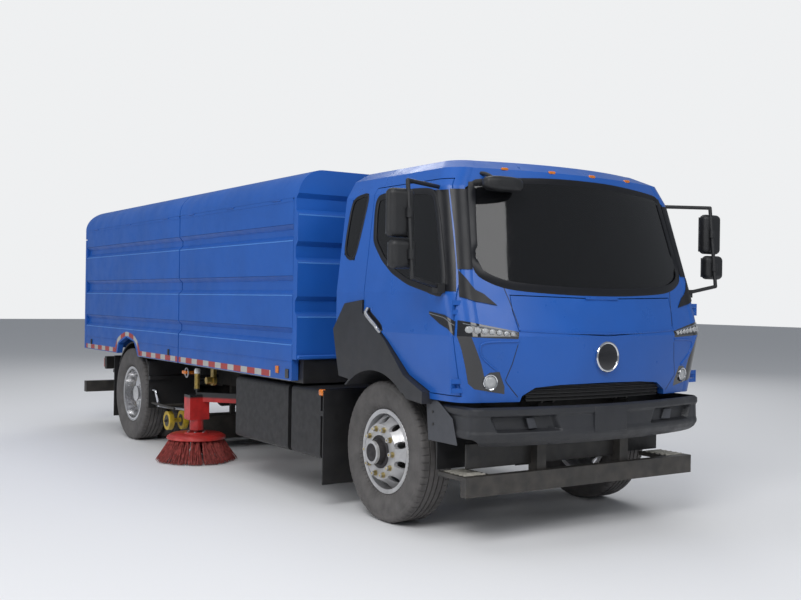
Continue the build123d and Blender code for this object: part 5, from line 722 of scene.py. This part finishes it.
# Mirror glass on the poles that lean with the pillar, a little bowed.
MIRROR_X, MIRROR_HALF = 1.468, 0.078
POLE_LOW_Z, POLE_TOP_Z, POLE_LEAN = 1.735, 2.352, 0.064
faces = []
for z, half_height in ((2.146, 0.135), (1.884, 0.075)):
    rear = aft(-0.880 + POLE_LEAN * (z - POLE_LOW_Z) / (POLE_TOP_Z - POLE_LOW_Z)) + 0.0975
    x, h = square(np.linspace(-MIRROR_HALF, MIRROR_HALF, 6), np.linspace(-half_height, half_height, 8))
    bow = 0.004 * (1 - (x / MIRROR_HALF) ** 2) * (1 - (h / half_height) ** 2)
    faces += slab(np.stack([MIRROR_X + x, rear + bow, z + h], axis=-1), 0.003, (0, 1, 0))
pair("mirror_glass_", faces, "cab_door_", mirror_face, sharp=50)

# ---- body trim ----

SIDE_X = 1.25
BODY_LOW_Z, BODY_HEIGHT = 0.94, 1.685


def side_strip(front, rear, low, top, proud):
    """A thin plate on the body's left side between two heights, from front to rear metres behind the axle."""
    y0, y1 = aft(front), aft(rear)
    y, z = square(np.linspace(y0, y1, max(int((y1 - y0) / 0.12), 2)), [low, top])
    return slab(np.stack([np.full_like(y, SIDE_X + proud), y, z], axis=-1), proud + 0.0015, (1, 0, 0))


TAPE_LOW_Z, TAPE_TOP_Z, TAPE_PROUD = 0.948, 1.000, 0.0015
ARCH = np.array([(4.664, 0.946), (4.705, 1.030), (4.800, 1.098), (4.930, 1.128), (5.070, 1.142), (5.210, 1.113),
                 (5.345, 1.064), (5.396, 1.000), (5.412, 0.946)]) + np.array([aft(0), 0.0])
arch_line = spaced(smooth_path(ARCH), 0.04)
arch_run = np.gradient(arch_line, axis=0)
arch_run /= np.linalg.norm(arch_run, axis=1, keepdims=True)
arch_beside = np.stack([-arch_run[:, 1], arch_run[:, 0]], axis=1)
arch_bend = arch_line[:, None] + arch_beside[:, None] * np.array([0.004, 0.052])[None, :, None]
arch_tape = np.concatenate([np.full(arch_bend.shape[:2] + (1,), SIDE_X + TAPE_PROUD), arch_bend], axis=-1)
tapes = {
    "front": side_strip(1.45, 3.485, TAPE_LOW_Z, TAPE_TOP_Z, TAPE_PROUD),
    "rear": side_strip(3.525, 4.635, TAPE_LOW_Z, TAPE_TOP_Z, TAPE_PROUD)
            + side_strip(5.450, 6.575, TAPE_LOW_Z, TAPE_TOP_Z, TAPE_PROUD) + slab(arch_tape, 0.003, (1, 0, 0)),
}

# Tape, thin strips that paint the highlight under each pressed groove and the shade over it, and the lip that covers
# the joint under the roof.
GROOVES = ((0.738, 0.664), (0.494, 0.405), (0.247, 0.170))
for door, front, rear in (("front", 1.085, 3.490), ("rear", 3.518, 6.580)):
    lit, shaded = [], []
    for top, low in ((BODY_LOW_Z + BODY_HEIGHT * share for share in pair) for pair in GROOVES):
        lit += side_strip(front, rear, low - 0.0075, low, 0.0012)
        shaded += side_strip(front, rear, top, top + 0.0045, 0.0012)
    lip = side_strip(front, rear, 2.368, 2.3955, 0.0022)
    body = f"{door}_flap_"
    pair(f"{door}_tape_", tapes[door], body, tape, sharp=50)
    pair(f"{door}_groove_light_", lit, body, painted_highlight_blue, sharp=50)
    pair(f"{door}_groove_dark_", shaded, body, groove_shadow, sharp=50)
    pair(f"{door}_joint_lip_", lip, body, body_paint, sharp=50)

# Blocks on the side doors: name, door, spans behind the axle, low and top, depth inside and outside the face.
HEM_Z, SILL_Z = (1.087, 1.093), (0.9375, 0.9405)
BLOCKS = (
    ("front_hem", "front", [(1.09, 3.485)], HEM_Z, (0.002, 0.004), body_paint, 0.0015),
    ("rear_hem", "rear", [(3.525, 4.69), (5.43, 6.575)], HEM_Z, (0.002, 0.004), body_paint, 0.0015),
    ("front_sill", "front", [(1.09, 3.485)], SILL_Z, (0.045, 0.001), edge_pale, 0.0),
    ("rear_sill", "rear", [(3.525, 4.665), (5.405, 6.575)], SILL_Z, (0.045, 0.001), edge_pale, 0.0),
    ("rear_latches", "rear", [(3.742, 3.778), (6.332, 6.368)], (1.000, 1.062), (0, 0.012), black_plastic, 0.003),
    ("front_latch", "front", [(1.120, 1.175)], (0.955, 1.030), (0, 0.010), black_gloss, 0.003),
    ("front_marker", "front", [(1.295, 1.345)], (0.985, 1.045), (0, 0.012), lens_amber, 0.004),
)
for name, door, spans, heights, (deep, proud), material, bevel in BLOCKS:
    blocks = []
    for front, rear in spans:
        blocks += brick(SIDE_X - deep, SIDE_X + proud, aft(front), aft(rear), *heights)
    pair(f"{name}_", blocks, f"{door}_flap_", material, bevel=bevel)

# Sheets bent round the rear tyres, each with a rolled outer edge.
GUARD_RADIUS, GUARD_THICK, GUARD_OUTER_X = 0.578, 0.006, 1.18
guard_turn = np.linspace(-1.12, 1.02, 40)


def guard_points(turn, x, radius):
    """Points x from the middle and radius from the rear axle, at a turn from straight up that grows rearwards."""
    return np.stack([x + 0 * turn, REAR_AXLE_Y + radius * np.sin(turn), AXLE_Z + radius * np.cos(turn)], axis=-1)


turn, x = square(guard_turn, [0.64, 0.90, GUARD_OUTER_X])
guard = shell(guard_points(turn, x, GUARD_RADIUS), guard_points(turn, x, GUARD_RADIUS - GUARD_THICK))
for side, sign in SIDES:
    rolled = tube(guard_points(guard_turn, sign * GUARD_OUTER_X, GUARD_RADIUS - GUARD_THICK), 0.010, 10)
    piece(f"rear_guard_sheet_{side}", on_side(guard, sign) + [rolled], "chassis", black_plastic)

# Hatch on the front roof, ledge of the front wall, and lighter-blue strips on its ribs that paint their highlight.
piece("roof_hatch", [lathe([(0, 0.0), (0, 0.16), (0.028, 0.16), (0.036, 0.15), (0.038, 0.0)],
                           (-0.50, aft(1.62), 2.586), "z", 40)], "chassis", body_paint)
piece("front_wall_ledge", brick(-1.248, 1.248, aft(0.972), aft(1.002), 1.113, 1.147), "chassis", body_paint,
      bevel=0.010)
ribs = []
for share in (0.786, 0.560, 0.304):
    low = BODY_LOW_Z + BODY_HEIGHT * share
    ribs += brick(-1.244, 1.244, aft(0.9988), aft(1.0010), low - 0.010, low)
piece("front_wall_rib_highlights", ribs, "chassis", painted_highlight_blue)

# Ribbed screen behind the nose's lower edge: the depth follows a cosine of the height.
GRILLE_LOW_Z, GRILLE_TOP_Z, GRILLE_PITCH = 0.941, 1.062, 0.0242
rib_s, rib_z = square(np.linspace(-0.655, 0.655, 60), np.linspace(GRILLE_LOW_Z, GRILLE_TOP_Z, 61))
depth = -0.026 + 0.007 * np.cos((rib_z - GRILLE_LOW_Z) * 2 * np.pi / GRILLE_PITCH)
piece("nose_grille", slab(cab_face(rib_s, rib_z, depth), 0.008, (0, -1, 0)), "cab", black_plastic, sharp=60)

# ---- bumper and lower front ----

PLATE_Y = aft(-1.20)
BUMPER_EDGE_X, BUMPER_CORNER, BUMPER_BULGE = 0.985, 0.09, 0.13
BUMPER_LOW_Z, BUMPER_TOP_Z = 0.657, 0.914
BUMPER_RELIEF = [(0.657, -0.062), (0.690, -0.022), (0.722, -0.004), (0.740, -0.003), (0.762, -0.009), (0.850, -0.012),
                 (0.868, -0.001), (0.900, -0.002), (0.914, -0.020)]


def bumper_face(s, z, lift):
    """A point of the bumper, lift in front of its plan: the bulged plan with one width at every height."""
    return bulged_plan(s, z, lift, BUMPER_EDGE_X, BUMPER_CORNER, BUMPER_BULGE, PLATE_Y)


def eased(value, low, high):
    """0 below low and 1 above high, with a smooth cubic step between."""
    t = np.clip((value - low) / (high - low), 0, 1)
    return t * t * (3 - 2 * t)


half = np.concatenate([np.linspace(0, 1, 110), np.linspace(1, 2, 10)[1:], np.linspace(2, 2.34, 14)[1:]])
skin_s, share = square(np.concatenate([-half[:0:-1], half]), np.linspace(0, 1, 56))
low_z = BUMPER_LOW_Z + 0.055 * eased(np.abs(skin_s), 0.86, 1.7)
skin_z = low_z + (BUMPER_TOP_Z - low_z) * share
relief = np.interp(skin_z, *zip(*BUMPER_RELIEF))
across = np.abs(skin_s) - 0.5 * (skin_z - 0.80)
recess = eased(across, 0.44, 0.475) * (1 - eased(across, 0.915, 0.935)) * eased(skin_z, 0.752, 0.768)
recess *= 1 - eased(skin_z, 0.846, 0.858)
relief = relief - 0.042 * recess
skin = shell(bumper_face(skin_s, skin_z, relief), bumper_face(skin_s, skin_z, relief - 0.010))
for sign in (-1, 1):
    skin += brick(sign * 0.491, sign * 0.431, aft(-1.12), aft(-0.742), 0.662, 0.778)
piece("bumper_skin", skin, "chassis", bumper_grey, sharp=40, stands_for=("front_bumper",))
piece("plate_pad", brick(-0.150, 0.150, PLATE_Y + 0.0006, PLATE_Y + 0.020, 0.727, 0.900), "chassis", bumper_grey,
      bevel=0.004)
piece("under_tray", brick(-0.98, 0.43, aft(-0.872), aft(-0.852), 0.495, 0.662), "chassis", black_plastic,
      bevel=0.006)
WASHER = [(-0.0002, 0.0), (-0.0002, 0.011), (-0.0032, 0.0105), (-0.0047, 0.007), (-0.0047, 0.0)]
washers = [lathe(WASHER, (x, PLATE_Y + 0.0055, z), "y", 6) for x in (-0.105, 0.105) for z in (0.752, 0.872)]
piece("plate_washers", washers, "chassis", steel)

# At each corner: a pale wedge in the bumper's recess, the step's treads, each rib a low arch in section, and the
# plate behind the step with its bolts.
CORNER_X, CORNER_LOW_Z = 1.084, 0.662
CORNER_BOLT = [(0, 0.0), (0, 0.009), (0.004, 0.009), (0.005, 0.006), (0.005, 0)]
wedge_s, wedge_t = square(np.linspace(0, 1, 6), np.linspace(0, 1, 6))
wedge_left, wedge_right = 0.600 + 0.030 * wedge_t, 0.675 + 0.022 * wedge_t
wedge_across = wedge_left + (wedge_right - wedge_left) * wedge_s
back, up = square(np.linspace(0, 1, 8), np.linspace(0, 1, 6))
corner_y = (-0.905 + 0.055 * up) * (1 - back) + (-0.585 + 0.030 * up) * back
corner_top = 0.935 - 0.105 * np.clip((0.55 - back) / 0.55, 0, 1)
corner_z = CORNER_LOW_Z + (corner_top - CORNER_LOW_Z) * up
wedge = bumper_face(wedge_across, 0.772 + 0.070 * wedge_t, -0.040 + 0.022 * wedge_s)
pair("bumper_wedge_", slab(wedge, 0.012, (0, -1, 0)), "chassis", plate_grey, bevel=0.002)
x, t = square(np.linspace(0.856, 1.034, 10), np.linspace(0, np.pi, 9))
treads = []
for y in aft(-0.908 + 0.05 * np.arange(5)):
    treads += slab(np.stack([x, y - 0.011 * np.cos(t), 0.4605 + 0.010 * np.sin(t)], axis=-1), 0.004, (0, 0, 1))
pair("step_tread_", treads, "chassis", step_light)
plate = np.stack([np.full_like(back, CORNER_X), aft(corner_y), corner_z], axis=-1)
pair("corner_plate_", slab(plate, 0.008, (1, 0, 0)), "chassis", plate_grey, bevel=0.003)
bolts = [lathe(CORNER_BOLT, (CORNER_X, aft(y), z), "x", 10) for y, z in ((-0.635, 0.855), (-0.640, 0.775))]
pair("corner_bolts_", bolts, "chassis", black_plastic)

# ---- nozzle wheels, brush fittings ----

NOZZLE_WHEEL_Y, NOZZLE_WHEEL_Z = aft(4.12), 0.292
WHEEL_RING = [(0.024, 0.060), (0.0255, 0.094), (0.022, 0.0985), (-0.022, 0.0985), (-0.0255, 0.094), (-0.024, 0.060)]
WHEEL_HUB = [(0.0265, 0.0), (0.0265, 0.058), (0.0255, 0.062), (-0.0255, 0.062), (-0.0265, 0.058), (-0.0265, 0.0)]
LIFT_CAP = [(0.848, 0.0), (0.848, 0.029), (0.880, 0.029), (0.896, 0.020), (0.8965, 0.0)]
LIFT_SLEEVE = [(0.700, 0.0262), (0.700, 0.0285), (0.715, 0.0285), (0.715, 0.0265), (0.825, 0.0265), (0.825, 0.0285),
               (0.846, 0.0285), (0.846, 0.0262)]
centres = [(x, NOZZLE_WHEEL_Y, NOZZLE_WHEEL_Z) for x in (0.945, 1.100)]
pair("small_wheel_rings_", [lathe(WHEEL_RING, centre) for centre in centres], "small_wheels_", yellow_plastic)
pair("small_wheel_hubs_", [lathe(WHEEL_HUB, centre, turns=32) for centre in centres], "small_wheels_", frame_paint)
pair("lift_cap_", [lathe(LIFT_CAP, (BRUSH_X, BRUSH_Y, 0), "z", 24)], "arm_", white_cap)
pair("lift_sleeve_", [lathe(LIFT_SLEEVE, (BRUSH_X, BRUSH_Y, 0), "z", 24)], "arm_", brass_metal)

# Pipe and rod beside the nozzle, valve and lamp on the near side.
pipe = smooth_path([(-1.180, aft(4.440), 0.590), (-1.180, aft(4.320), 0.594), (-1.180, aft(4.285), 0.565),
                    (-1.150, aft(4.280), 0.430)], 6)
piece("side_pipe", [tube(pipe, 0.016, 14)], "chassis", chrome)
rod = spaced([(-1.120, aft(4.520), 0.418), (-1.120, aft(4.00), 0.436), (-1.080, aft(3.62), 0.452)], 0.05)
piece("side_rod", [tube(rod, 0.014)], "chassis", steel)
VALVE_Y, VALVE_Z, VALVE_RING = aft(3.46), 0.842, 0.044
turn = np.linspace(0, 2 * np.pi, 41)
ring = np.stack([-1.175 + 0 * turn, VALVE_Y + VALVE_RING * np.cos(turn), VALVE_Z + VALVE_RING * np.sin(turn)], axis=1)
piece("valve_ring", [tube(ring, 0.0075, 10)], "chassis", steel)
stem = tube([(x, VALVE_Y, VALVE_Z) for x in (-1.165, -1.10, -1.05)], 0.018)
piece("valve_body", [pillow((-1.165, aft(3.53), VALVE_Z), (0.045, 0.10, 0.040), 0.6, 12), stem], "chassis",
      lens_amber, sharp=50)
piece("valve_block", brick(-1.14, -1.07, aft(3.36), aft(3.44), 0.50, 0.60), "arm_right", blue_hose, bevel=0.006)
piece("box_lamp", [pillow((-1.205, aft(0.650), 0.880), (0.045, 0.060, 0.050), 0.5, 14)], "chassis", lens_amber,
      sharp=50)

# ---- floor, lamps, camera ----

FLOOR_HALF = 60
floor_mesh = bpy.data.meshes.new("floor")
floor_corners = [(-FLOOR_HALF, -FLOOR_HALF, 0), (FLOOR_HALF, -FLOOR_HALF, 0), (FLOOR_HALF, FLOOR_HALF, 0),
                 (-FLOOR_HALF, FLOOR_HALF, 0)]
floor_mesh.from_pydata(floor_corners, [], [(0, 1, 2, 3)])
floor = bpy.data.objects.new("floor", floor_mesh)
bpy.context.collection.objects.link(floor)
floor_material = bpy.data.materials.new("floor_pale")
floor_material.use_nodes = True
floor_shader = floor_material.node_tree.nodes["Principled BSDF"]
floor_shader.inputs["Base Color"].default_value = (0.80, 0.80, 0.81, 1)
floor_shader.inputs["Roughness"].default_value = 0.85
floor_mesh.materials.append(floor_material)

# Soft blue-white light from all round, and a paler backdrop that only the camera sees.
world = bpy.data.worlds.new("studio")
bpy.context.scene.world = world
world.use_nodes = True
tree = world.node_tree
light = tree.nodes["Background"]
light.inputs["Color"].default_value = (0.80, 0.85, 0.92, 1)
light.inputs["Strength"].default_value = 0.34
pale = add_node(tree, "ShaderNodeBackground", {"Color": (0.86, 0.87, 0.88, 1), "Strength": 1.0})
rays = add_node(tree, "ShaderNodeLightPath", {})
mix = add_node(tree, "ShaderNodeMixShader", {0: rays.outputs["Is Camera Ray"], 1: light.outputs["Background"],
                                             2: pale.outputs["Background"]})
tree.links.new(mix.outputs["Shader"], tree.nodes["World Output"].inputs["Surface"])

# Square soft lamps: name, place, the point it looks at, size, power.
LAMPS = (
    ("key", (-8.0, -8.5, 9.0), (0, -0.5, 1.2), 6.0, 820),
    ("front_fill", (0.4, -12.0, 7.0), (0, -2.5, 1.6), 4.6, 260),
    ("side_fill", (-11.0, 2.5, 5.0), (0, 1.0, 1.4), 6.0, 260),
    ("sky", (0, 0.5, 12.0), (0, 0, 0), 9.0, 360),
    ("back_fill", (8.0, 9.0, 7.0), (0, 1.0, 1.2), 6.0, 380),
)
for name, place, target, size, power in LAMPS:
    data = bpy.data.lights.new(name, "AREA")
    data.size = size
    data.energy = power
    lamp = bpy.data.objects.new(name, data)
    bpy.context.collection.objects.link(lamp)
    lamp.location = place
    lamp.rotation_euler = (Vector(target) - Vector(place)).to_track_quat("-Z", "Y").to_euler()

# The camera at the photograph's view: its place, its turn, and its focal length in pixels of the picture's width.
CAMERA_PLACE = (-5.0315, aft(-6.1769), 1.5965)
YAW, PITCH, ROLL = (math.radians(value) for value in (33.561, -0.0154, 0.8291))
FOCAL_PIXELS, PICTURE_WIDTH, SENSOR_WIDTH = 1022.6, 801, 36.0
forward = np.array([math.sin(YAW) * math.cos(PITCH), math.cos(YAW) * math.cos(PITCH), math.sin(PITCH)])
level = np.array([math.cos(YAW), -math.sin(YAW), 0.0])
upward = np.cross(level, forward)
camera_data = bpy.data.cameras.new("camera")
camera_data.sensor_width = SENSOR_WIDTH
camera_data.lens = SENSOR_WIDTH * FOCAL_PIXELS / PICTURE_WIDTH
camera = bpy.data.objects.new("camera", camera_data)
bpy.context.collection.objects.link(camera)
turned_frame = np.eye(4)
turned_frame[:3, 0] = level * math.cos(ROLL) + upward * math.sin(ROLL)
turned_frame[:3, 1] = upward * math.cos(ROLL) - level * math.sin(ROLL)
turned_frame[:3, 2] = -forward
turned_frame[:3, 3] = CAMERA_PLACE
camera.matrix_world = Matrix(turned_frame.tolist())
bpy.context.scene.camera = camera

bpy.context.scene.view_settings.view_transform = "Standard"
